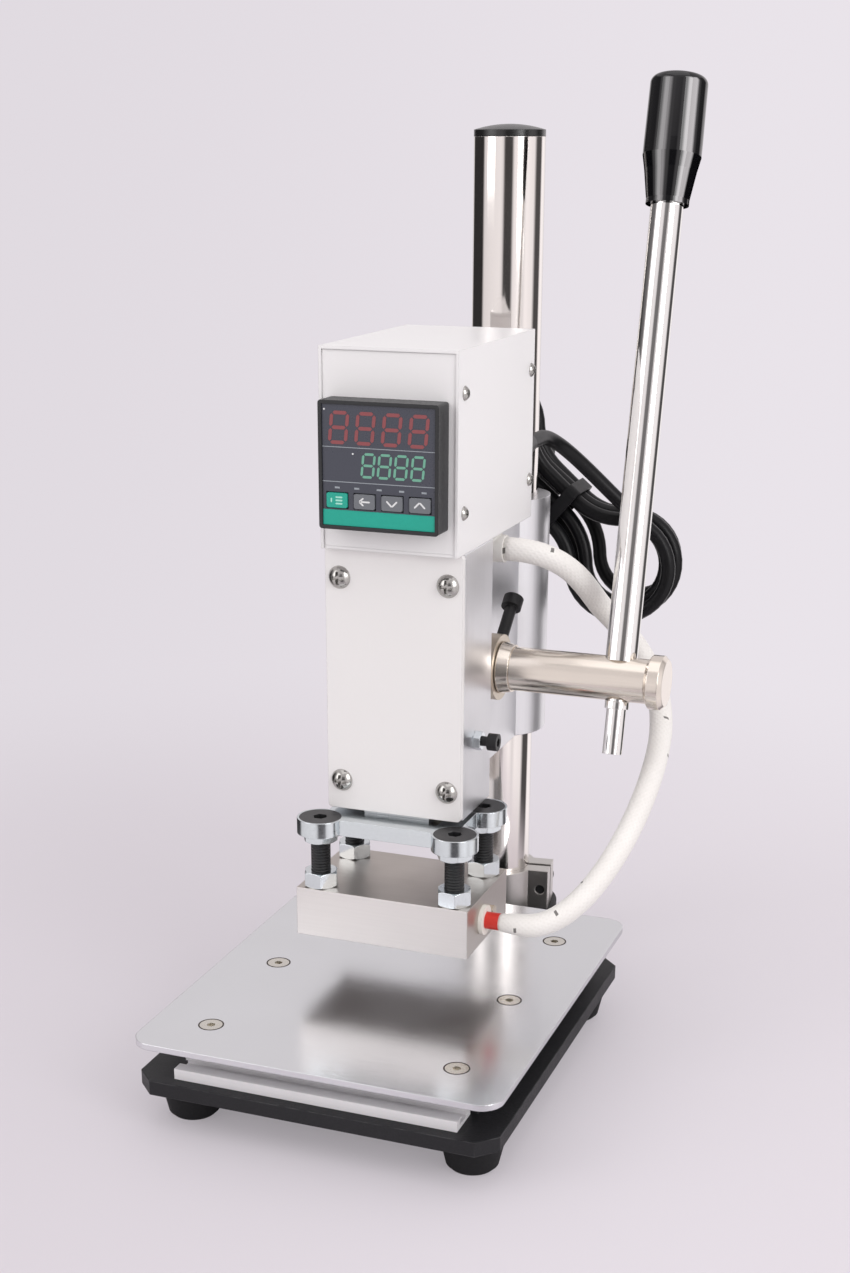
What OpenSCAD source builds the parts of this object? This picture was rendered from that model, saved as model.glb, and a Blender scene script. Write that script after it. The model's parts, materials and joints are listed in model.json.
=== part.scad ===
// Bench press for hot foil stamping, with a rack and pinion ram.
// Millimetres. X to the right, Y to the back, Z up.
// The origin lies on the bench, straight under the middle of the heating block.

/* [Base] */
// Width of the base casting
base_w = 149; // [145:1:165]
// Reach of the base in front of the ram
base_front = 101; // [100.5:0.5:110]
// Reach of the base behind the ram
base_rear = 80; // [74:1:90]
// Height of the base skirt
base_h = 6; // [5.5:0.5:10]
// Thickness of the base deck
base_deck = 4; // [3:0.5:5]
// Thickness of the base skirt and table walls
base_wall = 6; // [4:0.5:8]
// Chamfer across the front corners of the base
front_chamfer = 7.5; // [2:0.5:9]
// Chamfer across the rear corners of the base
rear_chamfer = 11; // [4:0.5:14]
// Width of the tongue that carries the column
tongue_w = 58; // [52:1:70]
// Width of the raised table
table_w = 122; // [116:1:134]
// Reach of the raised table in front of the ram
table_front = 80; // [76:0.5:80.5]
// Reach of the raised table behind the ram
table_rear = 70; // [62:1:72]
// Height of the raised table above the deck
table_h = 13.5; // [8:0.5:18]

/* [Feet] */
// Diameter of a rubber foot at the base
foot_d = 26; // [20:0.5:28]
// Diameter of a rubber foot on the bench
foot_tip_d = 20.5; // [16:0.5:22]
// Height of the rubber feet
foot_h = 16; // [12:0.5:18]
// Distance of the feet from the sides of the base
foot_side = 15.5; // [13:0.5:20]
// Distance of the front feet from the front of the base
foot_lead = 21.5; // [18:0.5:30]
// Distance of the rear feet from the rear of the base
foot_trail = 20; // [16:0.5:26]

/* [Front rail] */
// Length of the front rail
rail_l = 117; // [100:1:130]
// Width of the front rail
rail_w = 15; // [13:0.5:15.5]
// Height of the front rail
rail_h = 7; // [5.5:0.5:9]
// Drop of the front flange of the rail below the rear flange
rail_step = 2.6; // [1:0.1:3]
// Width of the slot in the rail
rail_slot_w = 5; // [4.4:0.1:6]
// Width of the undercut of the slot
rail_under_w = 8; // [7:0.1:9]
// Height of the undercut of the slot
rail_under_h = 2; // [1.5:0.1:2.5]
// Thickness of the rail floor
rail_floor = 1.4; // [1:0.1:2]
// Set-back of the rail from the front edge of the base
rail_back = 5; // [3:0.5:5.5]

/* [Work plate] */
// Overhang of the work plate beyond the sides of the base
plate_over = 1; // [0:0.5:6]
// Overhang of the work plate beyond the front of the base
plate_lip = 0.5; // [0:0.5:3]
// Overhang of the work plate beyond the rear of the base
plate_tail = 3; // [0:0.5:5]
// Thickness of the work plate
plate_t = 2.5; // [2.5:0.1:4]
// Corner radius of the work plate
plate_r = 9; // [5:0.5:14]
// Offset of the plate screws to each side
plate_screw_x = 51.5; // [46:0.5:53]
// Distance between the rows of plate screws
plate_screw_pitch = 63.5; // [58:0.5:66]
// Reach of the middle row of plate screws in front of the ram
plate_screw_front = 13.5; // [10:0.5:15]
// Diameter of the plate screws
plate_screw_d = 5; // [5:0.5:6]
// Diameter of the plate screw heads
plate_head_d = 10; // [8:0.5:10]

/* [Column] */
// Distance from the ram to the column
throat = 125.4; // [122:0.2:134]
// Diameter of the column
column_d = 30.3; // [28:0.1:31]
// Wall of the column tube
column_wall = 3; // [2:0.5:4]
// Length of the column above the base deck
column_h = 346; // [320:1:380]
// Height of the domed plug on the column
cap_h = 5; // [3:0.5:8]
// Depth of the plug inside the column
cap_in = 12; // [8:1:20]
// Outside diameter of the foot collar
collar_d = 37; // [36:0.5:44]
// Height of the foot collar
collar_h = 19; // [15:0.5:24]
// Turn of the collar's lug towards the back
collar_turn = 8; // [0:1:40]
// Reach of the collar's lugs beyond the ring
collar_reach = 7.5; // [6.5:0.5:10]
// Thickness of the collar's pair of lugs
collar_lug_w = 17; // [15:0.5:19]
// Diameter of the collar screw
collar_screw_d = 4.5; // [4:0.5:5]
// Reach of the head's clamp lugs beyond the ring
lug_reach = 13; // [12:0.5:15]
// Thickness of the head's pair of clamp lugs
lug_w = 19; // [17:0.5:22]
// Width of the slit in a clamp
slit_w = 2.5; // [1.5:0.1:3.5]
// Diameter of the head's clamp screws
clamp_screw_d = 6; // [5:0.5:6]

/* [Head body] */
// Height of the head body
body_h = 107.5; // [104.5:0.5:116]
// Width of the front block
block_w = 57; // [54:0.5:60]
// Depth of the front block
block_d = 33; // [32:0.5:36]
// Width of the neck
neck_w = 26; // [25:0.5:30]
// Outside diameter of the ring round the column
ring_d = 42; // [40:0.5:46]
// Gap between the head body and the eared plate
head_gap = 2; // [1:0.1:3]
// Height of the clamp screws above the bottom of the head body
clamp_up = 25; // [20:1:32]
// Distance between the clamp screws
clamp_pitch = 62; // [50:1:66]
// Thickness of the channel cap
channel_cap_t = 3; // [2:0.5:4]
// Width of the seat that the channel cap rests on
cap_seat = 3; // [2:0.5:4]

/* [Front cover] */
// Width of the front cover
cover_w = 57; // [54:0.5:60]
// Thickness of the front cover
cover_t = 3; // [2:0.5:4]
// Offset of the cover screws to each side
cover_screw_x = 22.5; // [21.5:0.5:23.5]
// Distance of the cover screws from the cover's ends
cover_screw_in = 12; // [8:0.5:18]
// Diameter of the cover screws
cover_screw_d = 4; // [3:0.5:5]
// Depth of the cover screws in the head body
cover_screw_depth = 10; // [8:0.5:12]
// Diameter of the cover screw heads
cover_head_d = 9.2; // [7:0.2:9.4]
// Height of the cover screw heads
cover_head_h = 2.8; // [2:0.1:3.5]

/* [Ram and rack] */
// Width of the ram bar
ram_w = 28; // [26:0.5:29]
// Depth of the ram bar
ram_d = 26.5; // [25:0.5:27.5]
// Reach of the ram bar in front of its axis
ram_front = 7.2; // [6:0.1:8]
// Length of the ram bar
ram_l = 85; // [82:0.5:87]
// Stroke of the ram
stroke = 19.5; // [15:0.5:20]
// Gap between sliding faces
slide_gap = 0.1; // [0.05:0.01:0.2]
// Thickness of the gib strip
gib_t = 3; // [2:0.5:4]
// Width of the gib strip
gib_w = 18; // [14:0.5:20]
// Height of the gib screw above the bottom of the head body
gib_up = 29.6; // [26:0.2:34]
// Reach of the gib screw behind the ram axis
gib_y = 6.8; // [5:0.2:8]
// Diameter of the gib screw
gib_screw_d = 4; // [3:0.5:4.5]
// Reach of the gib screw beyond the block
gib_reach = 5.8; // [5:0.2:8]
// Width of the rack
rack_w = 15; // [12:0.5:16]
// Diameter of the rack screws
rack_screw_d = 4; // [3:0.5:4]
// Depth of the rack screws in the rack
rack_screw_depth = 4.5; // [3:0.5:5]
// Distance between the rack screws
rack_screw_pitch = 44; // [38:1:46]
// Diameter of the screws that hold the ram to the eared plate
ram_screw_d = 6; // [5:0.5:6]
// Depth of the ram screws in the ram bar
ram_screw_depth = 11; // [9:0.5:14]
// Thickness of the eared plate under the ram screw heads
ram_seat = 2; // [1.5:0.5:3]
// Distance between the ram screws
ram_screw_pitch = 14; // [13:0.5:15]

/* [Pinion and shaft] */
// Gear module
gear_module = 1.25; // [1:0.05:1.3]
// Number of pinion teeth
pinion_teeth = 16; // [14:1:17]
// Pressure angle of the teeth
pressure_angle = 20; // [18:1:25]
// Thinning of each tooth for backlash
backlash = 0.2; // [0.12:0.02:0.3]
// Height of the pinion axis above the bottom of the head body
axis_up = 51.5; // [50:0.5:58]
// Diameter of the shaft inside the head
journal_d = 14; // [12:0.5:14]
// Diameter of the shaft outside the head
shaft_d = 18; // [17:0.5:20]
// Reach of the shaft from the middle of the machine
shaft_reach = 90.5; // [88:0.5:96]
// Diameter of the bush flanges
flange_d = 27.2; // [26.6:0.2:29]
// Depth of the bush spigots in the neck
bush_in = 4; // [3:0.5:5]
// Thickness of the left bush flange
left_flange = 4; // [3:0.5:6]
// Running gap round the shaft
shaft_gap = 0.05; // [0.03:0.01:0.08]
// Diameter of the stop collar
stop_d = 21.5; // [21:0.5:26]
// Width of the stop collar
stop_w = 5; // [4:0.5:7]
// Diameter of the end cap
end_cap_d = 22; // [20:0.5:25]
// Thickness of the end cap
end_cap_t = 7.5; // [5:0.5:9]
// Diameter of the locking screw in the right bush
lock_screw_d = 5; // [4:0.5:5]
// Reach of the locking screw's head seat from the shaft axis
lock_screw_reach = 30; // [26:0.5:32]
// Lean of the locking screw to the back
lock_screw_lean = 49; // [40:1:55]

/* [Lever] */
// Lean of the lever to the back, at rest
lever_lean = 14; // [8:1:20]
// Distance of the lever from the end of the shaft
lever_in = 12; // [11.5:0.5:14]
// Diameter of the lever rod
rod_d = 13; // [11:0.5:14]
// Diameter of the lever rod's tail
tail_d = 8; // [7:0.5:8.5]
// Diameter of the ring on the tail, under the shaft
tail_ring_d = 9.8; // [9:0.2:11]
// Height of the ring on the tail
tail_ring_h = 3; // [2:0.5:4]
// Reach of the tail below the shaft axis
tail_l = 30.5; // [24:0.5:34]
// Distance from the shaft axis to the grip
grip_at = 186; // [170:1:200]
// Length of the grip
grip_l = 48.5; // [44:0.5:60]
// Largest diameter of the grip
grip_d = 23; // [22.5:0.5:26]
// Diameter of the grip at its lower end
grip_low_d = 17; // [16:0.5:19]
// Diameter of the grip at its top
grip_top_d = 22.5; // [19:0.5:23]
// Depth of the lever rod inside the grip
rod_in = 30; // [20:1:36]

/* [Eared plate] */
// Distance between the studs, side to side
stud_x = 58; // [56:0.5:61]
// Distance between the studs, front to back
stud_y = 36; // [30:0.5:37]
// Diameter of the studs
stud_d = 8; // [7:0.5:8]
// Diameter of the stud heads
stud_head_d = 17.2; // [15:0.2:17.4]
// Diameter of the ears
ear_d = 19; // [18.5:0.5:22]
// Thickness of the eared plate
ear_t = 6.5; // [6:0.5:8]
// Depth of the eared plate between its ears
web_d = 40; // [38:0.5:46]
// Height of the upper nuts
upper_nut_h = 3.5; // [3:0.5:6]
// Height of the lower nuts
lower_nut_h = 6.5; // [5:0.5:8]
// Bare length of the studs between the nuts
stud_span = 13; // [8:0.5:16]
// Width across the flats of the stud nuts
nut_af = 13; // [12:0.5:14]
// Depth of the studs in the heating block
stud_in = 11; // [8:0.5:14]

/* [Heating block] */
// Width of the heating block
heat_w = 74; // [72:0.5:80]
// Depth of the heating block
heat_d = 50; // [48:0.5:56]
// Thickness of the heating block
heat_t = 20.5; // [18:0.5:24]
// Gap between the heating block and the work plate at the end of the stroke
press_gap = 1; // [0.5:0.1:3]
// Diameter of the heater cartridge
heater_d = 8; // [6:0.5:9]
// Length of the heater cartridge
heater_l = 62; // [50:1:68]
// Height of the heater above the bottom of the heating block
heater_up = 9.9; // [8.9:0.2:11.1]
// Reach of the heater in front of the ram axis
heater_front = 6; // [0:0.5:8]
// Diameter of the temperature probe
probe_d = 4; // [3:0.5:5]
// Length of the temperature probe in the block
probe_l = 25; // [18:1:32]
// Distance from the heater to the temperature probe
probe_back = 9.6; // [9.2:0.1:11]
// Diameter of the ceramic ring
ferrule_d = 12.4; // [11:0.2:13]
// Thickness of the ceramic ring
ferrule_t = 1.8; // [1:0.2:3]
// Diameter of the red sleeve
sleeve_d = 7; // [6:0.2:7.4]
// Length of the red sleeve
sleeve_l = 7.5; // [7:0.5:9]

/* [Control box] */
// Width of the box
box_w = 55.9; // [54:0.1:60]
// Depth of the box
box_d = 92.4; // [88:0.2:96]
// Height of the box
box_h = 76.4; // [74:0.2:84]
// Thickness of the sheet
sheet_t = 1.2; // [1:0.1:1.6]
// Reach of the box in front of the ram
box_front = 15.2; // [14.6:0.1:17]
// Set-back of the front panel inside the cover
panel_in = 0.6; // [0.3:0.1:1.5]
// Depth of the folded side flanges
flange_in = 12; // [11:0.5:14]
// Distance of the front box screws from the front edge
box_screw_in = 7; // [6:0.2:8]
// Distance of the rear box screws from the rear edge
box_screw_rear = 4; // [3.6:0.2:6]
// Height of the lower box screws
box_screw_up = 16; // [12:0.5:18]
// Distance between the box screws
box_screw_pitch = 44.5; // [42:0.5:50]
// Diameter of the box screws
box_screw_d = 3; // [2.5:0.1:3.4]
// Diameter of the box screw heads
box_head_d = 5.6; // [5:0.2:6.4]
// Fitting gap of sheet parts
sheet_gap = 0.1; // [0.05:0.05:0.2]

/* [Controller] */
// Width and height of the controller bezel
bezel_w = 48; // [46:0.5:50]
// Depth of the bezel in front of the panel
bezel_t = 10.9; // [8:0.1:12]
// Height of the bezel's middle above the bottom of the box
bezel_up = 34; // [31:0.2:36]
// Width of the bezel's rim
rim_w = 1.4; // [1:0.1:2]
// Set-back of the facia inside the rim
facia_in = 0.6; // [0.4:0.1:1]
// Thickness of the facia
facia_t = 2; // [1.6:0.1:3]
// Width and height of the case behind the panel
case_w = 44.6; // [42:0.2:45]
// Depth of the case behind the panel
case_d = 62; // [56:1:66]
// Distance between the keys
key_pitch = 11.1; // [10.6:0.1:11.4]
// Width of a key
key_w = 8.4; // [7:0.1:9]
// Height of a key
key_h = 5.6; // [5:0.1:6]
// Drop of the keys below the middle of the bezel
key_drop = 13; // [12:0.1:13.4]
// Travel of a key
key_travel = 0.6; // [0.4:0.1:0.8]
// Gap round a key
key_gap = 0.3; // [0.2:0.05:0.4]

/* [Rear panel] */
// Width of the switch frame
switch_w = 15; // [14:0.5:17]
// Height of the switch frame
switch_h = 21; // [19:0.5:24]
// Height of the switch's middle above the bottom of the box
switch_up = 50; // [46:0.5:56]
// Offset of the switch to the left
switch_x = 12; // [10:0.5:16]
// Radius of the rocker about its pin
rocker_r = 7; // [6:0.2:7.6]
// Tilt of the rocker to each side
rocker_tilt = 9; // [6:1:12]
// Offset of the mains lead to the right
lead_x = 20; // [20:0.5:21]
// Height of the mains lead above the bottom of the box
lead_up = 27; // [26.5:0.5:28]
// Length of the strain relief of the mains lead
gland_l = 20; // [20:0.5:24]

/* [Cords] */
// Diameter of the mains lead
cord_d = 6.5; // [6:0.1:6.5]
// Diameter of the heater cable
cable_d = 9.6; // [9:0.1:10]
// Drop of the cable elbow below the box
bush_drop = 7.5; // [7:0.1:9]
// Half width of the innermost loop at the waist
hank_waist = 4.4; // [4.4:0.1:5]
// Half length of the straight runs of the hank
hank_run = 9; // [8:0.5:11]
// Bend of the innermost loop at the folds
fold_r = 19.5; // [19.5:0.5:21]
// Bend of the loops into the waist
neck_r = 31; // [29:1:35]
// Step from loop to loop across the hank
hank_step = 7.05; // [7.05:0.05:7.6]
// Step from layer to layer of the hank
hank_layer = 7; // [7:0.1:7.5]
// Width of the tie round the hank
tie_h = 6; // [4:0.5:6]
// Thickness of the tie
tie_t = 1.5; // [1:0.1:2]
// Distance of the tie from the middle of the hank
tie_at = 6; // [5:0.5:6]
// Length of the plug's body
plug_l = 34; // [28:1:38]
// Width of the plug
plug_w = 26; // [24:0.5:30]
// Thickness of the plug
plug_t = 17; // [15:0.5:19]

/* [Return spring] */
// Diameter of the spring wire
wire_d = 1.3; // [1.1:0.1:1.4]
// Diameter of the spring at the middle of the wire
spring_d = 13; // [11:0.5:15]
// Number of curls of the spring
spring_curls = 7; // [6:1:8]

/* [Hidden] */
$fn = 64;

// Gap between a screw and its hole, or a plug and its socket
fit = 0.05;
// Overshoot of a cut beyond the face that it opens
cut = 1;

// Places of the feet and sizes of the work plate, from the base
foot_x = base_w / 2 - foot_side;
foot_front = base_front - foot_lead;
foot_rear = base_rear - foot_trail;
plate_w = base_w + 2 * plate_over;
plate_front = base_front + plate_lip;
plate_d = plate_front + base_rear + plate_tail;

// Heights, stacked from the bench upwards
deck_z = foot_h + base_h;
table_z = deck_z + table_h;
plate_z = table_z + plate_t;
heat_z = plate_z + stroke + press_gap;
heat_top = heat_z + heat_t;
ear_z = heat_top + lower_nut_h + stud_span + upper_nut_h;
ear_top = ear_z + ear_t;
body_z = ear_top + head_gap;
body_top = body_z + body_h;
axis_z = body_z + axis_up;
bezel_z = body_top + bezel_up;
column_top = deck_z + column_h;

// Depths, from the front to the back
block_y = -ram_front - slide_gap;
block_back = block_y + block_d;
cover_y = block_y - cover_t;
ram_back = ram_d - ram_front;
boss_gap = 0.3;
axis_y = block_back + boss_gap + flange_d / 2;
panel_y = -box_front + panel_in;
bezel_y = panel_y - bezel_t;
box_back = box_d - box_front;

// Gear sizes
pitch_r = gear_module * pinion_teeth / 2;
tip_r = pitch_r + gear_module;
root_r = pitch_r - 1.25 * gear_module;
base_r = pitch_r * cos(pressure_angle);
tooth_pitch = PI * gear_module;
rack_tip = 0.88 * gear_module;
rack_root = 1.3 * gear_module;
pinion_bore_r = tip_r + 0.4;
pinion_l = neck_w - 2 * bush_in - 0.6;
rack_y = axis_y - pitch_r;

// Channel of the ram in the head body
channel_left = ram_w / 2 + slide_gap;
channel_right = ram_w / 2 + 2 * slide_gap + gib_t;
channel_back = ram_back + slide_gap;
ram_top = ear_top + ram_l;
cap_z = body_top - channel_cap_t;

// Shaft stations along X
boss_x = block_w / 2;
stop_x = boss_x + 0.4;
lever_x = shaft_reach - lever_in;
circlip_x = -neck_w / 2 - left_flange - boss_gap;
circlip_t = 1.2;
groove_r = journal_d / 2 - 0.8;

// Outlet of the heater
heater_z = heat_z + heater_up;
sleeve_end = [heat_w / 2 + sleeve_l, -heater_front, heater_z];

// Mains lead and hank
lead_z = body_top + lead_up;
hank_turn = 50;
hank_at = [13.5, 162.1, 212];
hank_along = [sin(hank_turn), 0, -cos(hank_turn)];
hank_across = [cos(hank_turn), 0, sin(hank_turn)];
hank_mid = 2.25;
hank_start = 0.9;
hank_end = 4.24;
tail_lift = 12.4;
lead_bend = 25;

// Elbow of the heater cable under the box
bush_x = 20.5;
bush_out = 7.5;
cable_start = [bush_x + bush_out, 44, body_top - bush_drop];

// Knots and handles of the heater cable between the elbow and the red sleeve
cable_spans = let (first = cable_start + [3, 0, 0], last = sleeve_end + [cable_d, 0, 0])
    [[first, first + [26, 0, 0], [56.5, 66, 190.5], [63, 70, 182.5]],
     [[63, 70, 182.5], [70.5, 75.5, 173], [83, 99.5, 151.5], [90, 68, 133.5]],
     [[90, 68, 133.5], [96.5, 39.5, 116.5], last + [28.5, 0, 0], last]];

// Screw with a cylinder head and a hexagon socket. The shank hangs down from the head's seat at z = 0.
module socket_screw(d, l, head_d = 0, head_h = 0) {
    hd = head_d > 0 ? head_d : 1.6 * d;
    hh = head_h > 0 ? head_h : d;
    difference() {
        union() {
            cylinder(h = hh, d = hd);
            translate([0, 0, -l]) cylinder(h = l, d = d);
        }
        translate([0, 0, hh * 0.45]) cylinder(h = hh, d = hd * 0.55, $fn = 6);
    }
}

// Domed head with a cross recess. The shank hangs down from the head's seat at z = 0.
module cross_screw(d, l, head_d, head_h) {
    dome_r = (head_d * head_d / 4 + head_h * head_h) / (2 * head_h);
    slot = head_d * 0.14;
    difference() {
        union() {
            rotate_extrude() intersection() {
                translate([0, head_h - dome_r]) circle(dome_r, $fn = 96);
                square([head_d / 2, head_h]);
            }
            translate([0, 0, -l]) cylinder(h = l, d = d);
        }
        for (a = [0, 90]) rotate([0, 0, a])
            translate([-head_d * 0.28, -slot / 2, head_h * 0.4]) cube([head_d * 0.56, slot, head_h]);
    }
}

// Countersunk head with a hexagon socket, its top face at z = 0.
module sunk_screw(d, l, head_d, socket) {
    h = (head_d - d) / 2;
    difference() {
        union() {
            translate([0, 0, -h]) cylinder(h = h, d1 = d, d2 = head_d);
            translate([0, 0, -l]) cylinder(h = l, d = d);
        }
        translate([0, 0, -h * 0.75]) cylinder(h = h, d = socket, $fn = 6);
    }
}

// Hole for a countersunk screw whose head lies flush with z = 0.
module sunk_hole(d, l, head_d) {
    h = (head_d - d) / 2;
    translate([0, 0, -h]) cylinder(h = h, d1 = d + 2 * fit, d2 = head_d + 2 * fit);
    translate([0, 0, -l]) cylinder(h = l + cut, d = d + 2 * fit);
    cylinder(h = cut, d = head_d + 2 * fit);
}

// Hexagon nut with its corners turned off at both ends
module hex_nut(af, h, d) {
    corner = af / cos(30) / 2;
    bevel = (corner - af / 2) * tan(35);
    difference() {
        intersection() {
            cylinder(h = h, r = corner, $fn = 6);
            rotate_extrude($fn = 36) polygon([[0, 0], [af / 2, 0], [corner, bevel], [corner, h - bevel],
                [af / 2, h], [0, h]]);
        }
        translate([0, 0, -cut]) cylinder(h = h + 2 * cut, d = d + 2 * fit);
    }
}

module rounded_rect(w, d, r) {
    square([w - 2 * r, d], center = true);
    square([w, d - 2 * r], center = true);
    for (x = [-1, 1], y = [-1, 1]) translate([x * (w / 2 - r), y * (d / 2 - r)]) circle(r);
}

// A profile drawn in Y and Z, extruded from x0 to x1.
module along_x(x0, x1) {
    translate([x0, 0, 0]) rotate([90, 0, 90]) linear_extrude(x1 - x0) children();
}

// A profile drawn in X and Z, extruded from y0 to y1.
module along_y(y0, y1) {
    translate([0, y1, 0]) rotate([90, 0, 0]) linear_extrude(y1 - y0) children();
}

module rod_x(x0, x1, r) {
    translate([x0, 0, 0]) rotate([0, 90, 0]) cylinder(h = x1 - x0, r = r);
}

// Moves to the pinion axis and turns the local Z along +X.
module on_axis(x) {
    translate([x, axis_y, axis_z]) rotate([0, 90, 0]) children();
}

// Places children at the four stud positions.
module at_studs(z) {
    for (x = [-1, 1], y = [-1, 1]) translate([x * stud_x / 2, y * stud_y / 2, z]) children();
}

// Tube swept along points

function unit(v) = v / norm(v);
function heading(p, i) = unit(
    i == 0 ? p[1] - p[0] :
    i == len(p) - 1 ? p[i] - p[i - 1] :
    unit(p[i + 1] - p[i]) + unit(p[i] - p[i - 1]));
function square_to(t, n) = unit(n - (n * t) * t);
function normals(p, n, i = 0) = i == len(p) ? [] :
    let (m = square_to(heading(p, i), n)) concat([m], normals(p, m, i + 1));
function ring(c, t, n, r, k) = let (b = cross(t, n))
    [for (j = [0 : k - 1]) c + r * (cos(360 * j / k) * n + sin(360 * j / k) * b)];

module tube(p, r, k, first_normal) {
    n = normals(p, first_normal);
    last = (len(p) - 1) * k;
    points = [for (i = [0 : len(p) - 1]) each ring(p[i], heading(p, i), n[i], r, k)];
    sides = [for (i = [0 : len(p) - 2], j = [0 : k - 1])
        let (a = i * k + j, b = i * k + (j + 1) % k)
        each [[a, a + k, b + k], [a, b + k, b]]];
    caps = [for (j = [1 : k - 2]) each [[0, j, j + 1], [last, last + j + 1, last + j]]];
    polyhedron(points = points, faces = concat(sides, caps));
}

// Points along cubic spans of two knots and two handles, with n steps to a span
function cubic(b, t) = pow(1 - t, 3) * b[0] + 3 * t * pow(1 - t, 2) * b[1]
    + 3 * t * t * (1 - t) * b[2] + pow(t, 3) * b[3];
function along_spans(spans, n) = concat([spans[0][0]],
    [for (b = spans, i = [1 : n]) cubic(b, i / n)]);

// Least gap between stretches of one tube that are more than skip points apart
function self_gap(p, d, skip) = min([for (i = [0 : len(p) - 1])
    for (j = [i + skip : 1 : len(p) - 1]) norm(p[i] - p[j])]) - d;

// Involute gear

function polar(r, a) = [r * cos(a), r * sin(a)];
function roll_at(r) = sqrt(max(0, pow(r / base_r, 2) - 1));
function involute_angle(r) = roll_at(r) * 180 / PI - atan(roll_at(r));
function half_tooth(r) = 90 / pinion_teeth - backlash / 2 / pitch_r * 180 / PI
    + involute_angle(pitch_r) - involute_angle(max(r, base_r));

module pinion_profile() {
    flank = [root_r, for (i = [0 : 5]) base_r + (tip_r - base_r) * i / 5];
    polygon([for (i = [0 : pinion_teeth - 1]) let (c = (i + 0.5) * 360 / pinion_teeth)
        each concat([for (r = flank) polar(r, c - half_tooth(r))],
                    [for (k = [len(flank) - 1 : -1 : 0]) polar(flank[k], c + half_tooth(flank[k]))])]);
}

// Profile of the rack in Y and Z. A tooth faces the pinion's gap at rest.
module rack_profile(low, high) {
    slope = tan(pressure_angle);
    half = tooth_pitch / 4 - backlash / 2;
    first = ceil((low + tooth_pitch / 2 - axis_z) / tooth_pitch);
    last = floor((high - tooth_pitch / 2 - axis_z) / tooth_pitch);
    teeth = [for (k = [first : last]) let (z = axis_z + k * tooth_pitch) each [
        [rack_y - rack_root, z - half - rack_root * slope],
        [rack_y + rack_tip, z - half + rack_tip * slope],
        [rack_y + rack_tip, z + half - rack_tip * slope],
        [rack_y - rack_root, z + half + rack_root * slope]]];
    polygon(concat([[ram_back, low], [rack_y - rack_root, low]], teeth,
        [[rack_y - rack_root, high], [ram_back, high]]));
}

// Base

module base_outline() {
    w = base_w / 2;
    f = -base_front;
    polygon([[-w + front_chamfer, f], [w - front_chamfer, f], [w, f + front_chamfer],
        [w, base_rear - rear_chamfer], [w - rear_chamfer, base_rear], [-w + rear_chamfer, base_rear],
        [-w, base_rear - rear_chamfer], [-w, f + front_chamfer]]);
    translate([-tongue_w / 2, 0]) square([tongue_w, throat]);
    translate([0, throat]) circle(d = tongue_w);
}

module at_feet(z) {
    for (x = [-1, 1], y = [-foot_front, foot_rear]) translate([x * foot_x, y, z]) children();
}

module at_plate_screws(z) {
    for (x = [-1, 1], k = [-1 : 1])
        translate([x * plate_screw_x, k * plate_screw_pitch - plate_screw_front, z]) children();
}

module base_casting() {
    color("#1d1d1f") difference() {
        union() {
            translate([0, 0, foot_h]) linear_extrude(base_h) base_outline();
            translate([-table_w / 2, -table_front, deck_z - cut])
                cube([table_w, table_front + table_rear, table_h + cut]);
        }
        difference() {
            union() {
                translate([-base_w / 2 + base_wall, -base_front + base_wall, foot_h - cut])
                    cube([base_w - 2 * base_wall, base_front + base_rear - 2 * base_wall,
                        base_h - base_deck + cut]);
                translate([-table_w / 2 + base_wall, -table_front + base_wall, foot_h - cut])
                    cube([table_w - 2 * base_wall, table_front + table_rear - 2 * base_wall,
                        base_h + table_h - base_deck + cut]);
            }
            at_feet(foot_h - 2 * cut) cylinder(h = base_h + 2 * cut, d = foot_d + 2);
            for (x = [-1, 1], y = [-1, 1]) translate([x * (base_w / 2 - base_wall), y > 0 ?
                base_rear - base_wall : -base_front + base_wall, foot_h - 2 * cut])
                rotate([0, 0, 45]) cube([2 * rear_chamfer, 2 * rear_chamfer, 4 * base_h], center = true);
        }
        translate([0, throat, foot_h + base_deck / 2]) cylinder(h = base_h, d = column_d + 2 * fit);
        at_plate_screws(table_z - base_deck - cut)
            cylinder(h = base_deck + 2 * cut, d = plate_screw_d + 2 * fit);
    }
}

module rubber_feet() {
    color("#161616") at_feet(0) rotate_extrude() polygon([[0, 0], [foot_tip_d / 2 - 1.5, 0],
        [foot_tip_d / 2, 1.5], [foot_d / 2, foot_h - 2.5], [foot_d / 2, foot_h], [0, foot_h]]);
}

module front_rail() {
    y0 = -base_front + rail_back;
    mid = y0 + rail_w / 2;
    color("#c9cacc") difference() {
        along_x(-rail_l / 2, rail_l / 2) translate([y0, deck_z]) square([rail_w, rail_h]);
        along_x(-rail_l / 2 - cut, rail_l / 2 + cut) {
            translate([mid - rail_slot_w / 2, deck_z + rail_floor]) square([rail_slot_w, rail_h]);
            translate([mid - rail_under_w / 2, deck_z + rail_floor]) square([rail_under_w, rail_under_h]);
            translate([y0 + rail_w - 1.2, deck_z + rail_h - 1.2]) square([2.4, 2.4]);
            translate([y0 - cut, deck_z + rail_h - rail_step]) square([rail_w / 2, rail_h]);
        }
    }
}

module work_plate() {
    color("#cfd1d4") difference() {
        translate([0, plate_d / 2 - plate_front, table_z])
            linear_extrude(plate_t) rounded_rect(plate_w, plate_d, plate_r);
        at_plate_screws(plate_z) sunk_hole(plate_screw_d, plate_t + cut, plate_head_d);
    }
}

module plate_screws() {
    color("#b9a98c") at_plate_screws(plate_z)
        sunk_screw(plate_screw_d, plate_t + base_deck - 0.5, plate_head_d, plate_screw_d * 0.7);
}

// Column

module column() {
    low = foot_h + base_deck / 2;
    color("#dcdcdc") translate([0, throat, low]) difference() {
        cylinder(h = column_top - low, d = column_d);
        translate([0, 0, -cut])
            cylinder(h = column_top - low + 2 * cut, d = column_d - 2 * column_wall);
    }
}

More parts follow.
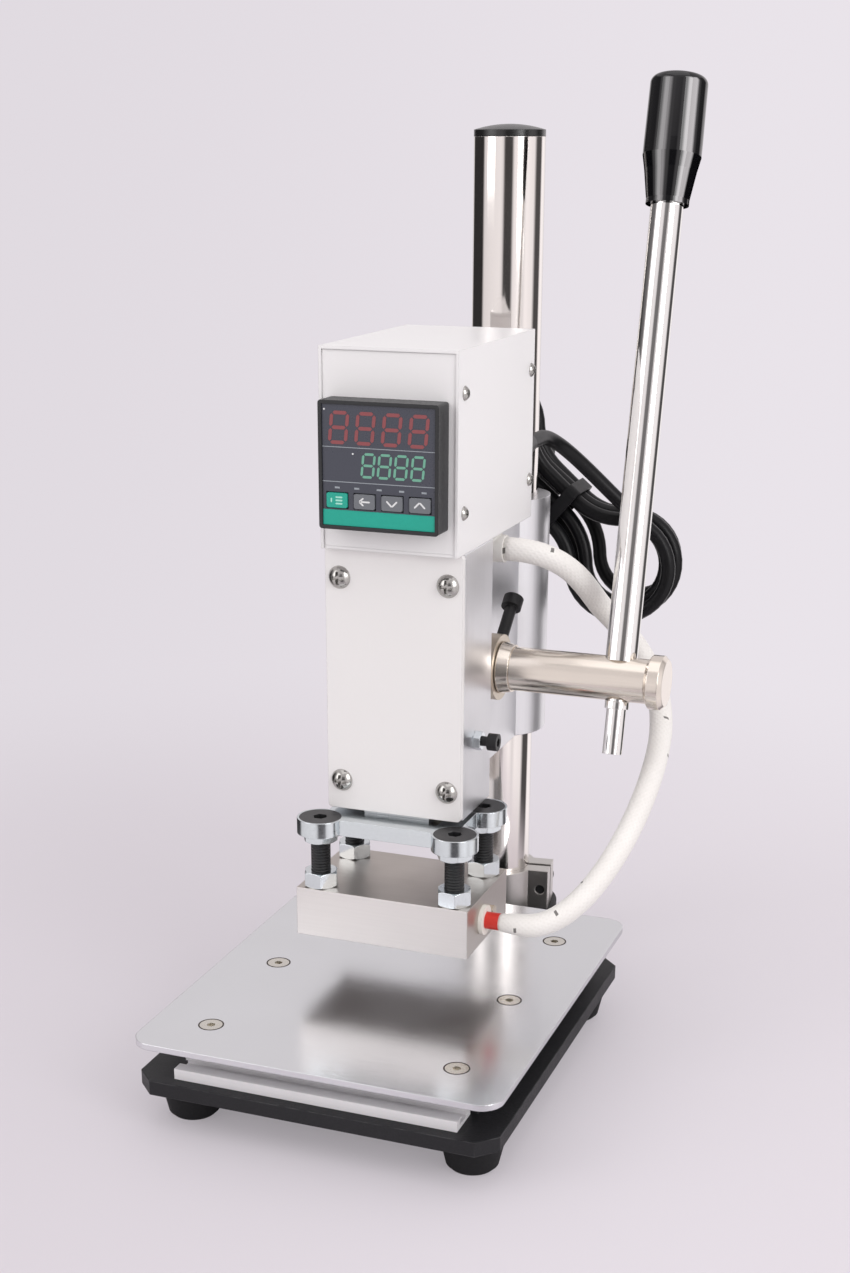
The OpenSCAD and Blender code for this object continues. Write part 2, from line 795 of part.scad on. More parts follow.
module column_cap() {
    spigot_r = column_d / 2 - column_wall - fit;
    r = column_d / 2;
    dome_r = (r * r + cap_h * cap_h) / cap_h;
    color("#151515") translate([0, throat, column_top]) {
        rotate_extrude() intersection() {
            translate([0, cap_h - dome_r]) circle(dome_r, $fn = 180);
            square([r, cap_h]);
        }
        translate([0, 0, -cap_in]) cylinder(h = cap_in, r = spigot_r);
    }
}

// Ring with a pair of lugs along +X, cut open by a slit
module split_ring(outer_d, bore_d, reach, w) {
    difference() {
        union() {
            circle(d = outer_d);
            translate([0, -w / 2]) square([outer_d / 2 + reach, w]);
        }
        circle(d = bore_d);
        translate([0, -slit_w / 2]) square([outer_d, slit_w]);
    }
}

// Cross hole through a pair of lugs
module lug_hole(outer_d, reach, w, screw_d) {
    translate([outer_d / 2 + reach / 2, -w, 0]) rotate([-90, 0, 0])
        cylinder(h = 2 * w, d = screw_d + 2 * fit);
}

// Screw through a pair of lugs, its head on the +Y side
module lug_screw(outer_d, reach, w, screw_d) {
    translate([outer_d / 2 + reach / 2, w / 2, 0]) rotate([-90, 0, 0]) socket_screw(screw_d, w - 1);
}

module column_collar() {
    color("#bfc0c2") translate([0, throat, deck_z]) rotate([0, 0, collar_turn]) difference() {
        linear_extrude(collar_h) split_ring(collar_d, column_d + 2 * fit, collar_reach, collar_lug_w);
        translate([0, 0, collar_h / 2]) lug_hole(collar_d, collar_reach, collar_lug_w, collar_screw_d);
    }
}

module collar_screw() {
    color("#1a1a1a") translate([0, throat, deck_z + collar_h / 2]) rotate([0, 0, collar_turn])
        lug_screw(collar_d, collar_reach, collar_lug_w, collar_screw_d);
}

// Head body

module at_cover_screws() {
    for (x = [-1, 1], z = [body_z + cover_screw_in, body_top - cover_screw_in])
        translate([x * cover_screw_x, cover_y, z]) rotate([90, 0, 0]) children();
}

module at_clamp_screws() {
    for (k = [0, 1]) translate([0, throat, body_z + clamp_up + k * clamp_pitch]) mirror([1, 0, 0])
        children();
}

module head_profile() {
    difference() {
        union() {
            translate([-block_w / 2, block_y]) square([block_w, block_d]);
            translate([-neck_w / 2, block_y]) square([neck_w, throat - block_y]);
            translate([0, throat]) mirror([1, 0])
                split_ring(ring_d, column_d + 2 * shaft_gap, lug_reach, lug_w);
        }
        translate([0, throat]) circle(d = column_d + 2 * shaft_gap);
        translate([-channel_left, block_y - cut])
            square([channel_left + channel_right, channel_back - block_y + cut]);
        translate([-rack_w / 2 - 0.3, 0]) square([rack_w + 0.6, rack_y + rack_tip + 0.4]);
    }
}

module head_body() {
    color("#c4c6c9") difference() {
        translate([0, 0, body_z]) linear_extrude(body_h) head_profile();
        on_axis(-neck_w) cylinder(h = 2 * neck_w, r = pinion_bore_r);
        translate([-channel_left - cap_seat, block_y - cut, cap_z])
            cube([channel_left + channel_right + 2 * cap_seat,
                channel_back - block_y + cap_seat + cut, channel_cap_t + cut]);
        at_cover_screws() translate([0, 0, -cover_t - cover_screw_depth - cut])
            cylinder(h = cover_screw_depth + 2 * cut, d = cover_screw_d + 2 * fit);
        translate([0, gib_y, body_z + gib_up]) rod_x(0, block_w, gib_screw_d / 2 + fit);
        at_clamp_screws() lug_hole(ring_d, lug_reach, lug_w, clamp_screw_d);
    }
}

module head_clamp_screws() {
    color("#1a1a1a") at_clamp_screws() lug_screw(ring_d, lug_reach, lug_w, clamp_screw_d);
}

module channel_cap() {
    color("#b5b7ba") translate([-channel_left - cap_seat + fit, block_y + fit, cap_z])
        cube([channel_left + channel_right + 2 * cap_seat - 2 * fit,
            channel_back - block_y + cap_seat - 2 * fit, channel_cap_t]);
}

module front_cover() {
    color("#efeff0") difference() {
        along_y(cover_y, block_y) translate([0, body_z + body_h / 2])
            rounded_rect(cover_w, body_h, 1.5);
        at_cover_screws() translate([0, 0, -2 * cover_t])
            cylinder(h = 3 * cover_t, d = cover_screw_d + 2 * fit);
    }
}

module cover_screws() {
    color("#b8b9bb") at_cover_screws()
        cross_screw(cover_screw_d, cover_t + cover_screw_depth, cover_head_d, cover_head_h);
}

module gib_strip() {
    color("#b59a55") translate([ram_w / 2 + slide_gap, gib_y - gib_w / 2, body_z])
        cube([gib_t, gib_w, body_h - channel_cap_t]);
}

module gib_screw() {
    seat = block_w / 2 + gib_reach;
    tip = channel_right - slide_gap;
    color("#181818") translate([seat, gib_y, body_z + gib_up]) rotate([0, 90, 0])
        socket_screw(gib_screw_d, seat - tip, 1.75 * gib_screw_d);
}

module gib_locknut() {
    color("#c3c5c8") translate([block_w / 2, gib_y, body_z + gib_up]) rotate([0, 90, 0])
        hex_nut(1.75 * gib_screw_d, 0.8 * gib_screw_d, gib_screw_d);
}

module bush(flange_l) {
    difference() {
        union() {
            translate([0, 0, -bush_in]) cylinder(h = bush_in, r = pinion_bore_r - fit);
            cylinder(h = flange_l, d = flange_d);
        }
        translate([0, 0, -bush_in - cut])
            cylinder(h = bush_in + flange_l + 2 * cut, d = journal_d + 2 * shaft_gap);
    }
}

// Place of the locking screw: midway along the flange, leaning to the back
module at_lock_screw() {
    translate([(boss_x + neck_w / 2) / 2 + 4, axis_y, axis_z]) rotate([-lock_screw_lean, 0, 0])
        translate([0, 0, lock_screw_reach]) children();
}

module shaft_bushes() {
    color("#a08a63") {
        difference() {
            on_axis(neck_w / 2) bush(boss_x - neck_w / 2);
            at_lock_screw() translate([0, 0, -lock_screw_reach + journal_d / 2 + 1.5])
                cylinder(h = lock_screw_reach, d = lock_screw_d + 2 * fit);
        }
        on_axis(-neck_w / 2) mirror([0, 0, 1]) bush(left_flange);
    }
}

module bush_screw() {
    color("#181818") at_lock_screw()
        socket_screw(lock_screw_d, lock_screw_reach - journal_d / 2 - 2, 1.7 * lock_screw_d);
}

// Control box

module at_box_screws() {
    for (x = [-1, 1], y = [-box_front + box_screw_in, box_back - box_screw_rear],
         z = [0, box_screw_pitch])
        translate([x * box_w / 2, y, body_top + box_screw_up + z]) rotate([0, x * 90, 0]) children();
}

// Width between the folded flanges of the inner panels
inner_w = box_w - 2 * sheet_t - 2 * sheet_gap;

module box_cover() {
    color("#f2f2f3") difference() {
        along_y(-box_front, box_back) difference() {
            translate([-box_w / 2, body_top]) square([box_w, box_h]);
            translate([-box_w / 2 + sheet_t, body_top - cut])
                square([box_w - 2 * sheet_t, box_h - sheet_t + cut]);
        }
        at_box_screws() translate([0, 0, -2 * sheet_t])
            cylinder(h = 3 * sheet_t, d = box_screw_d + 2 * fit);
    }
}

// Plate across the box between y0 and y1, with flanges folded to the side given by turn
module folded_panel(y0, turn) {
    low = body_top + sheet_t;
    tall = box_h - 2 * sheet_t - sheet_gap;
    near = turn > 0 ? y0 : y0 - flange_in;
    translate([-inner_w / 2, near, low]) difference() {
        cube([inner_w, flange_in, tall]);
        translate([sheet_t, turn > 0 ? sheet_t : -cut, -cut])
            cube([inner_w - 2 * sheet_t, flange_in - sheet_t + cut, tall + 2 * cut]);
    }
}

module box_screw_holes() {
    at_box_screws() translate([0, 0, -4 * sheet_t]) cylinder(h = 5 * sheet_t, d = box_screw_d + 2 * fit);
}

module box_front_panel() {
    hole = case_w + 2 * sheet_gap;
    color("#ececed") difference() {
        folded_panel(panel_y, 1);
        translate([-hole / 2, panel_y - cut, bezel_z - hole / 2]) cube([hole, flange_in + cut, hole]);
        box_screw_holes();
    }
}

module box_tray() {
    color("#ececed") difference() {
        union() {
            folded_panel(box_back, -1);
            translate([-inner_w / 2, panel_y, body_top]) cube([inner_w, box_back - panel_y, sheet_t]);
        }
        box_screw_holes();
        translate([-switch_x, 0, body_top + switch_up]) along_y(box_back - 3 * sheet_t, box_back + cut)
            square([switch_w - 3 + 2 * fit, switch_h - 3 + 2 * fit], center = true);
        translate([lead_x, 0, lead_z]) along_y(box_back - 3 * sheet_t, box_back + cut)
            circle(d = cord_d + 3 + 2 * fit);
        translate([bush_x, cable_start[1], body_top - cut])
            cylinder(h = sheet_t + 2 * cut, d = cable_d - 1 + 2 * fit);
    }
}

module box_screws() {
    color("#d9d9da") at_box_screws() cross_screw(box_screw_d, 5 * sheet_t - 1, box_head_d, 1.9);
}

// Controller

module at_keys() {
    for (k = [0 : 3]) translate([(k - 1.5) * key_pitch, 0, bezel_z - key_drop]) children();
}

facia_w = bezel_w - 2 * rim_w;
facia_y = bezel_y + facia_in;
key_depth = facia_t + key_travel + 1;

module controller_bezel() {
    color("#1b1c1e") difference() {
        along_y(bezel_y, panel_y) translate([0, bezel_z]) rounded_rect(bezel_w, bezel_w, 1.2);
        translate([-facia_w / 2, bezel_y - cut, bezel_z - facia_w / 2])
            cube([facia_w, facia_in + facia_t + cut, facia_w]);
        at_keys() translate([-key_w / 2 - key_gap, facia_y, -key_h / 2 - key_gap])
            cube([key_w + 2 * key_gap, key_depth + key_travel, key_h + 2 * key_gap]);
    }
}

module controller_facia() {
    w = facia_w - 2 * fit;
    color("#3a424c") difference() {
        translate([-w / 2, facia_y, bezel_z - w / 2]) cube([w, facia_t, w]);
        at_keys() translate([-key_w / 2 - key_gap, facia_y - cut, -key_h / 2 - key_gap])
            cube([key_w + 2 * key_gap, facia_t + 2 * cut, key_h + 2 * key_gap]);
    }
}

module controller_case() {
    color("#202123") {
        along_y(panel_y, panel_y + case_d) translate([0, bezel_z]) square(case_w, center = true);
        for (x = [-1, 1]) along_y(panel_y + case_d, panel_y + case_d + 5)
            translate([x * case_w / 3.4, bezel_z]) square([case_w / 4, case_w * 0.9], center = true);
    }
}

// Key number k from the left. It stands proud of the facia by its travel.
module key(k) {
    translate([(k - 1.5) * key_pitch, facia_y - key_travel, bezel_z - key_drop])
        along_y(0, key_depth) rounded_rect(key_w, key_h, 0.8);
}

module set_key() { color("#1f9a7a") key(0); }
module shift_key() { color("#7d8288") key(1); }
module down_key() { color("#7d8288") key(2); }
module up_key() { color("#7d8288") key(3); }

// Rear panel

// Moves to the rocker's pin
module at_rocker() {
    translate([-switch_x, box_back + 1.2, body_top + switch_up]) children();
}

module switch_frame() {
    inside = 12;
    color("#17181a") difference() {
        translate([-switch_x, 0, body_top + switch_up]) {
            along_y(box_back, box_back + 2) rounded_rect(switch_w, switch_h, 1.5);
            along_y(box_back - inside, box_back) square([switch_w - 3, switch_h - 3], center = true);
        }
        at_rocker() rod_x(-(switch_w - 5) / 2, (switch_w - 5) / 2, rocker_r + 0.4);
    }
}

module switch_rocker() {
    half = (switch_w - 5) / 2 - 0.3;
    rise = 3;
    color("#b3211c") at_rocker() rotate([rocker_tilt, 0, 0]) along_x(-half, half) intersection() {
        circle(rocker_r);
        polygon([[-rocker_r, -rocker_r], [rise + rocker_r * sin(rocker_tilt), -rocker_r], [rise, 0],
            [rise + rocker_r * sin(rocker_tilt), rocker_r], [-rocker_r, rocker_r]]);
    }
}

module cord_gland() {
    r = cord_d / 2 + fit;
    color("#151515") translate([lead_x, box_back, lead_z]) rotate([-90, 0, 0]) rotate_extrude()
        polygon([[0, -sheet_t * 2], [cord_d / 2 + 1.5, -sheet_t * 2], [cord_d / 2 + 1.5, 0],
            [cord_d / 2 + 4, 0], [cord_d / 2 + 4, 3], [cord_d / 2 + 2.6, 4], [r + 0.6, gland_l],
            [0, gland_l]]);
}

// Elbow under the box that turns the heater cable out to the side
module cable_bush() {
    r = cable_d / 2 + 0.8;
    color("#d8d4c8") translate(cable_start - [bush_out, 0, 0]) {
        cylinder(h = bush_drop, r = r);
        cylinder(h = bush_drop + sheet_t + 0.6, d = cable_d - 1);
        sphere(r);
        rod_x(0, bush_out, r);
    }
}

// Lever and shaft

module pinion_shaft() {
    left = circlip_x - circlip_t - 2;
    color("#cbb994") difference() {
        union() {
            on_axis(left) cylinder(h = stop_x - left, d = journal_d);
            on_axis(stop_x) cylinder(h = shaft_reach - stop_x, d = shaft_d);
        }
        on_axis(circlip_x - circlip_t) difference() {
            cylinder(h = circlip_t, d = journal_d + 2);
            translate([0, 0, -cut]) cylinder(h = circlip_t + 2 * cut, r = groove_r);
        }
        at_lever() {
            translate([0, 0, -shaft_d]) cylinder(h = 2 * shaft_d, d = tail_d + 2 * fit);
            translate([0, 0, rod_seat]) cylinder(h = shaft_d, d = rod_d + 2 * fit);
        }
    }
}

module drive_pinion() {
    color("#8e8f92") difference() {
        translate([0, axis_y, axis_z]) along_x(-pinion_l / 2, pinion_l / 2) pinion_profile();
        on_axis(-neck_w) cylinder(h = 2 * neck_w, d = journal_d + 2 * fit);
    }
}

module stop_collar() {
    color("#cdbc99") difference() {
        on_axis(stop_x) cylinder(h = stop_w, d1 = stop_d, d2 = stop_d - 2);
        on_axis(stop_x - cut) cylinder(h = stop_w + 2 * cut, d = shaft_d + 2 * fit);
    }
}

module shaft_end_cap() {
    r = end_cap_d / 2;
    color("#cdbc99") on_axis(shaft_reach) rotate_extrude() polygon([[0, 0], [r - 1.6, 0], [r, 1.4],
        [r, end_cap_t - 1.6], [r - 1.6, end_cap_t], [0, end_cap_t]]);
}

module shaft_circlip() {
    color("#3a3a3c") on_axis(circlip_x - circlip_t + fit) difference() {
        cylinder(h = circlip_t - 2 * fit, d = journal_d + 5);
        translate([0, 0, -cut]) cylinder(h = circlip_t + 2 * cut, r = groove_r + fit);
        translate([0, -groove_r * 0.7, -cut]) cube([journal_d, groove_r * 1.4, circlip_t + 2 * cut]);
    }
}

// Height of the lever rod's shoulder above the shaft axis
rod_seat = shaft_d / 2 - 1.6;

// Frame of the lever: Z along the rod, origin on the shaft axis
module at_lever() {
    translate([lever_x, axis_y, axis_z]) rotate([-lever_lean, 0, 0]) children();
}

module lever_rod() {
    color("#d9d9da") at_lever() {
        translate([0, 0, -tail_l]) cylinder(h = tail_l + rod_seat, d = tail_d);
        translate([0, 0, -shaft_d / 2 - fit - tail_ring_h]) cylinder(h = tail_ring_h, d = tail_ring_d);
        translate([0, 0, rod_seat]) cylinder(h = grip_at + rod_in - rod_seat, d = rod_d);
    }
}

module lever_grip() {
    swell = grip_l * 0.38;
    soft = 3;
    color("#141415") at_lever() translate([0, 0, grip_at]) difference() {
        rotate_extrude() {
            polygon([[0, 0], [grip_low_d / 2, 0], [grip_low_d / 2, 2], [grip_d / 2 - 1.2, swell * 0.7],
                [grip_d / 2, swell], [grip_d / 2, swell + 5],
                [grip_top_d / 2, grip_l - soft], [grip_top_d / 2 - soft, grip_l - soft],
                [grip_top_d / 2 - soft, grip_l], [0, grip_l]]);
            translate([grip_top_d / 2 - soft, grip_l - soft]) circle(soft);
        }
        translate([0, 0, -cut]) cylinder(h = rod_in + cut + 0.5, d = rod_d + 2 * fit);
    }
}

// Ram

module at_rack_screws() {
    mid = ear_top + ram_l / 2;
    for (k = [-1, 1]) translate([0, -ram_front, mid + k * rack_screw_pitch / 2]) rotate([90, 0, 0])
        children();
}

module ram_bar() {
    color("#a9abae") difference() {
        translate([-ram_w / 2, -ram_front, ear_top]) cube([ram_w, ram_d, ram_l]);
        at_rack_screws() {
            translate([0, 0, -ram_d - cut]) cylinder(h = ram_d + 2 * cut, d = rack_screw_d + 2 * fit);
            translate([0, 0, -rack_screw_d - 0.5])
                cylinder(h = ram_d, d = 1.6 * rack_screw_d + 2 * fit);
        }
        at_ram_screws() translate([0, 0, -cut])
            cylinder(h = ram_screw_depth + 2 * cut, d = ram_screw_d + 2 * fit);
    }
}

module ram_rack() {
    low = ear_top + 2;
    high = ram_top - 2;
    color("#85878a") difference() {
        along_x(-rack_w / 2, rack_w / 2) rack_profile(low, high);
        at_rack_screws() translate([0, 0, -ram_d - rack_screw_depth - cut])
            cylinder(h = rack_screw_depth + 2 * cut, d = rack_screw_d + 2 * fit);
    }
}

module rack_screws() {
    color("#232324") at_rack_screws() translate([0, 0, -rack_screw_d - 0.5])
        socket_screw(rack_screw_d, ram_d - rack_screw_d - 0.5 + rack_screw_depth);
}

// The ram screws stand on the eared plate, on the ram bar's middle line
module at_ram_screws() {
    for (k = [-1, 1]) translate([k * ram_screw_pitch / 2, ram_d / 2 - ram_front, ear_top]) children();
}

module stud_plate() {
    color("#cfd3d6") difference() {
        translate([0, 0, ear_z]) linear_extrude(ear_t) {
            square([stud_x, web_d], center = true);
            at_studs(0) circle(d = ear_d);
        }
        at_studs(ear_top) sunk_hole(stud_d, ear_t + cut, stud_head_d);
        at_ram_screws() translate([0, 0, -ear_t - cut]) {
            cylinder(h = ear_t + 2 * cut, d = ram_screw_d + 2 * fit);
            cylinder(h = ear_t - ram_seat + cut, d = 1.6 * ram_screw_d + 2 * fit);
        }
    }
}

module ram_screws() {
    color("#232324") at_ram_screws() translate([0, 0, -ram_seat]) mirror([0, 0, 1])
        socket_screw(ram_screw_d, ram_seat + ram_screw_depth, 1.6 * ram_screw_d, ear_t - ram_seat - 0.5);
}

module stud_screws() {
    color("#171718") at_studs(ear_top)
        sunk_screw(stud_d, ear_top - heat_top + stud_in, stud_head_d, stud_d * 0.75);
}

module upper_nuts() {
    color("#d4d8da") at_studs(ear_z - upper_nut_h) hex_nut(nut_af, upper_nut_h, stud_d);
}

module lower_nuts() {
    color("#d4d8da") at_studs(heat_top) rotate([0, 0, -9]) hex_nut(nut_af, lower_nut_h, stud_d);
}

// Heating block

module at_heater(x, y = 0) {
    translate([x, y - heater_front, heater_z]) rotate([0, 90, 0]) children();
}

module heating_block() {
    color("#d2d0cd") difference() {
        translate([-heat_w / 2, -heat_d / 2, heat_z]) cube([heat_w, heat_d, heat_t]);
        at_studs(heat_top - stud_in - 0.5) cylinder(h = stud_in + 2, d = stud_d + 2 * fit);
        at_heater(heat_w / 2 - heater_l - 0.5) cylinder(h = heater_l + 2, d = heater_d + 2 * fit);
        at_heater(heat_w / 2 - probe_l - 0.5, probe_back)
            cylinder(h = probe_l + 2, d = probe_d + 2 * fit);
    }
}

module heater_cartridge() {
    color("#9a9b9d") at_heater(heat_w / 2 - heater_l) cylinder(h = heater_l, d = heater_d);
}

module temperature_probe() {
    color("#a98f5a") at_heater(heat_w / 2 - probe_l, probe_back) {
        cylinder(h = probe_l, d = probe_d);
        translate([0, 0, probe_l]) cylinder(h = 2, d = probe_d + 1.6, $fn = 6);
    }
}

module heater_ferrule() {
    color("#f1efe8") at_heater(heat_w / 2) difference() {
        cylinder(h = ferrule_t, d = ferrule_d);
        translate([0, 0, -cut]) cylinder(h = ferrule_t + 2 * cut, d = sleeve_d + 2 * fit);
    }
}

module heater_sleeve() {
    color("#d8261c") at_heater(heat_w / 2) cylinder(h = sleeve_l, d = sleeve_d);
}

// Spring and cords

spring_low = ram_top;
spring_high = cap_z;
spring_y = ram_d / 2 - ram_front;
spring_lead = 2.4 * wire_d;

// Helix with straight ends, eight points to a curl
spring_route = let (low = spring_low + spring_lead, high = spring_high - spring_lead, r = spring_d / 2,
    n = 8 * spring_curls) concat([[r, spring_y, spring_low], [r, spring_y, spring_low + wire_d]],
    [for (i = [0 : n]) [r * cos(45 * i), spring_y + r * sin(45 * i), low + (high - low) * i / n]],
    [[r, spring_y, spring_high - wire_d], [r, spring_y, spring_high]]);

module return_spring() {
    echo(spring_self_gap = self_gap(spring_route, wire_d, 6));
    color("#6f7174") tube(spring_route, wire_d / 2, 6, [1, 0, 0]);
}

// The cable leaves the elbow and enters the red sleeve squarely
cable_points = concat([cable_start], along_spans(cable_spans, 9), [sleeve_end]);

module heater_cable() {
    color("#efece4") tube(cable_points, cable_d / 2, 10, [0, 1, 0]);
}

// One quarter of the innermost loop: a straight run, a bend out of the waist and half a fold.
// q runs from the waist to the tip. The result is a point and the outward direction there.
fold_turn = acos((hank_waist + neck_r) / (fold_r + neck_r));
neck_l = neck_r * fold_turn * PI / 180;
quarter_l = hank_run + neck_l + fold_r * (fold_turn + 90) * PI / 180;
function quarter(q) = let (s = q * quarter_l, n = s - hank_run, f = n - neck_l,
    a = n < 0 ? 0 : f < 0 ? n / neck_r * 180 / PI : fold_turn - f / fold_r * 180 / PI)
    [n < 0 ? [s, hank_waist] :
     f < 0 ? [hank_run + neck_r * sin(a), hank_waist + neck_r * (1 - cos(a))] :
     [hank_run + neck_r * sin(fold_turn) + fold_r * (sin(fold_turn) - sin(a)),
      hank_waist + neck_r * (1 - cos(fold_turn)) + fold_r * (cos(a) - cos(fold_turn))],
     [-sin(a), cos(a)]];

// Loops of the hank: in and out by one step, layer after layer, and off the last one at the tail
function ease(s) = let (q = min(1, max(0, s))) q * q * (3 - 2 * q);
function hank_grow(t) = hank_step * (abs((t - hank_mid + 3) % 2 - 1) - 0.25);
function hank_climb(t) = hank_layer * (ease(2 * t - 2) + ease(2 * t - 4) + ease(2 * t - 6) - 1.5)
    + tail_lift * ease((t - 3.8) / 0.4);
function hank_point(t) = let (f = 4 * (t - floor(t)), k = floor(f),
    b = quarter(k % 2 == 0 ? 1 - f + k : f - k), p = b[0] + hank_grow(t) * b[1])
    hank_at + (k == 0 || k == 3 ? 1 : -1) * p[0] * hank_along
    + (k < 2 ? -1 : 1) * p[1] * hank_across + [0, hank_climb(t), 0];
hank_loops = [for (i = [0 : round(24 * (hank_end - hank_start))]) hank_point(hank_start + i / 24)];
plug_at = hank_loops[len(hank_loops) - 1] - cord_d * hank_along;
hank_route = concat(hank_loops, [plug_at]);

// The lead leaves the strain relief straight, passes the column and runs into the hank
lead_straight = 36.8;
lead_points = let (first = [lead_x, box_back + lead_straight, lead_z], last = hank_loops[0],
    into = unit(hank_point(hank_start + 0.004) - last))
    concat([[lead_x, box_back + gland_l, lead_z]], along_spans([[first, first + [0, lead_bend, 0],
        last - lead_bend * into, last]], 10));

module power_cord() {
    color("#141415") tube(lead_points, cord_d / 2, 8, [1, 0, 0]);
}

module power_hank() {
    echo(hank_self_gap = self_gap(hank_route, cord_d, 8));
    color("#141415") tube(hank_route, cord_d / 2, 6, [0, 1, 0]);
}

// Turns the local Z along the hank's upward direction
module along_hank() {
    rotate([0, -hank_turn, 0]) children();
}

// Tie round the straight runs, on the fold's side of the plug
module hank_tie() {
    gap = 0.3;
    low = hank_waist + 0.73 * hank_step + cord_d / 2 + gap;
    high = hank_waist + 0.27 * hank_step + cord_d / 2 + gap;
    deep = 2.56 * hank_layer + cord_d + 2 * gap;
    across = low + high;
    color("#202022") translate(hank_at + tie_at * hank_along) along_hank()
        translate([(high - low) / 2, 0.22 * hank_layer, -tie_h / 2]) difference() {
            linear_extrude(tie_h) rounded_rect(across + 2 * tie_t, deep + 2 * tie_t, 3.5 + tie_t);
            translate([0, 0, -cut]) linear_extrude(tie_h + 2 * cut) rounded_rect(across, deep, 3.5);
        }
}

module power_plug() {
    pin_d = 4.8;
    pin_l = 19;
    pin_gap = 19;
    neck = 12;
    color("#161617") translate(plug_at) along_hank() {
        intersection() {
            rotate_extrude() polygon([[0, 0], [cord_d / 2 + 1, 0], [cord_d / 2 + 2, neck],
                [plug_w / 2, neck + 6], [plug_w / 2, plug_l], [0, plug_l]]);
            translate([-plug_w, -plug_t / 2, -cut]) cube([2 * plug_w, plug_t, plug_l + 2 * cut]);
        }
        for (x = [-1, 1]) translate([x * (pin_gap - pin_d) / 2, 0, plug_l]) cylinder(h = pin_l, d = pin_d);
    }
}

base_casting();
rubber_feet();
front_rail();
work_plate();
plate_screws();
column();
column_cap();
column_collar();
collar_screw();
head_body();
head_clamp_screws();
channel_cap();
front_cover();
cover_screws();
gib_strip();
gib_screw();
gib_locknut();
shaft_bushes();
bush_screw();
box_cover();
box_front_panel();
box_tray();
box_screws();
controller_bezel();
controller_facia();
controller_case();
set_key();
shift_key();
down_key();
up_key();
switch_frame();
switch_rocker();
cord_gland();
cable_bush();
pinion_shaft();
drive_pinion();
stop_collar();
shaft_end_cap();
shaft_circlip();
lever_rod();
lever_grip();
ram_bar();
ram_rack();
rack_screws();
ram_screws();
stud_plate();
stud_screws();
upper_nuts();
lower_nuts();
heating_block();
heater_cartridge();
temperature_probe();
heater_ferrule();
heater_sleeve();
return_spring();
heater_cable();
power_cord();
power_hank();
hank_tie();
power_plug();
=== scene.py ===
"""Looks of a bench hot foil stamping press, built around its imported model."""
import json
import math

import bmesh
import bpy
from mathutils import Matrix, Vector


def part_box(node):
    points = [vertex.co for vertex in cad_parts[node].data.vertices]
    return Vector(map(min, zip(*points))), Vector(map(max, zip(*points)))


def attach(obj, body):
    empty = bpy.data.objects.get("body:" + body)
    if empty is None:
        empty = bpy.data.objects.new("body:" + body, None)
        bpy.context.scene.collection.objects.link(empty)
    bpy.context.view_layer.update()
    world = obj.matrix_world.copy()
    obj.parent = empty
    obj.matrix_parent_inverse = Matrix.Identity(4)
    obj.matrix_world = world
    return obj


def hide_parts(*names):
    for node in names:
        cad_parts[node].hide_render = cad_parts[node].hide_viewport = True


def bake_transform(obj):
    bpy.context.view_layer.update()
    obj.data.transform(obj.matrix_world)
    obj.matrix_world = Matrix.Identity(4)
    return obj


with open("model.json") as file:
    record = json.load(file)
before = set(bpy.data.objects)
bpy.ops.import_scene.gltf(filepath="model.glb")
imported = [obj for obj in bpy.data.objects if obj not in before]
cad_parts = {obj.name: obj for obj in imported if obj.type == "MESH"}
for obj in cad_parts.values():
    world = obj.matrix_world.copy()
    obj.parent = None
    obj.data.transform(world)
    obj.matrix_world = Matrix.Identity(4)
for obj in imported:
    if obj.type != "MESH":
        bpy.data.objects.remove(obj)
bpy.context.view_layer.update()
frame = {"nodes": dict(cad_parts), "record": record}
nodes = frame["nodes"]
scene = bpy.context.scene
scene.view_settings.view_transform = "Standard"
MM = 0.001

# Camera

CAMERA_AT = (0.25804, -0.66607, 0.36447)
CAMERA_AZIMUTH = math.radians(21.02)
CAMERA_ELEVATION = math.radians(19.98)
CAMERA_LENS, SENSOR_WIDTH = 52.44, 36
CAMERA_SHIFT = (0.01364, 0.14378)
CLIP_RANGE = (0.01, 100)


def add_camera():
    a, e = CAMERA_AZIMUTH, CAMERA_ELEVATION
    back = Vector((math.sin(a) * math.cos(e), -math.cos(a) * math.cos(e), math.sin(e)))
    right = Vector((math.cos(a), math.sin(a), 0))
    up = back.cross(right)
    data = bpy.data.cameras.new("camera")
    data.lens, data.sensor_width = CAMERA_LENS, SENSOR_WIDTH
    data.shift_x, data.shift_y = CAMERA_SHIFT
    data.clip_start, data.clip_end = CLIP_RANGE
    obj = bpy.data.objects.new("camera", data)
    turn = Matrix((right, up, back)).transposed().to_4x4()
    obj.matrix_world = Matrix.Translation(CAMERA_AT) @ turn
    scene.collection.objects.link(obj)
    scene.camera = obj


add_camera()

# Node helpers


def node(tree, kind, inputs=None, **props):
    """Adds a shader node; inputs maps a socket's name or number to a value or to another socket."""
    n = tree.nodes.new("ShaderNode" + kind)
    for key, value in props.items():
        setattr(n, key, value)
    for key, value in (inputs or {}).items():
        if isinstance(value, bpy.types.NodeSocket):
            tree.links.new(value, n.inputs[key])
        else:
            n.inputs[key].default_value = value
    return n


def math_node(tree, operation, a, b=0.5):
    """The result of a math node; b is idle where the operation takes one value."""
    return node(tree, "Math", {0: a, 1: b}, operation=operation).outputs[0]


def remap(tree, value, low, high, to_low=0.0, to_high=1.0):
    """Maps a span of a value to another, smoothly and clamped."""
    return node(tree, "MapRange", {0: value, 1: low, 2: high, 3: to_low, 4: to_high},
                interpolation_type="SMOOTHSTEP").outputs[0]


def mix(tree, factor, a, b):
    return node(tree, "Mix", {0: factor, 6: a, 7: b}, data_type="RGBA").outputs[2]


def rgba(color, gain=1.0):
    return (*[min(1.0, c * gain) for c in color[:3]], 1.0)


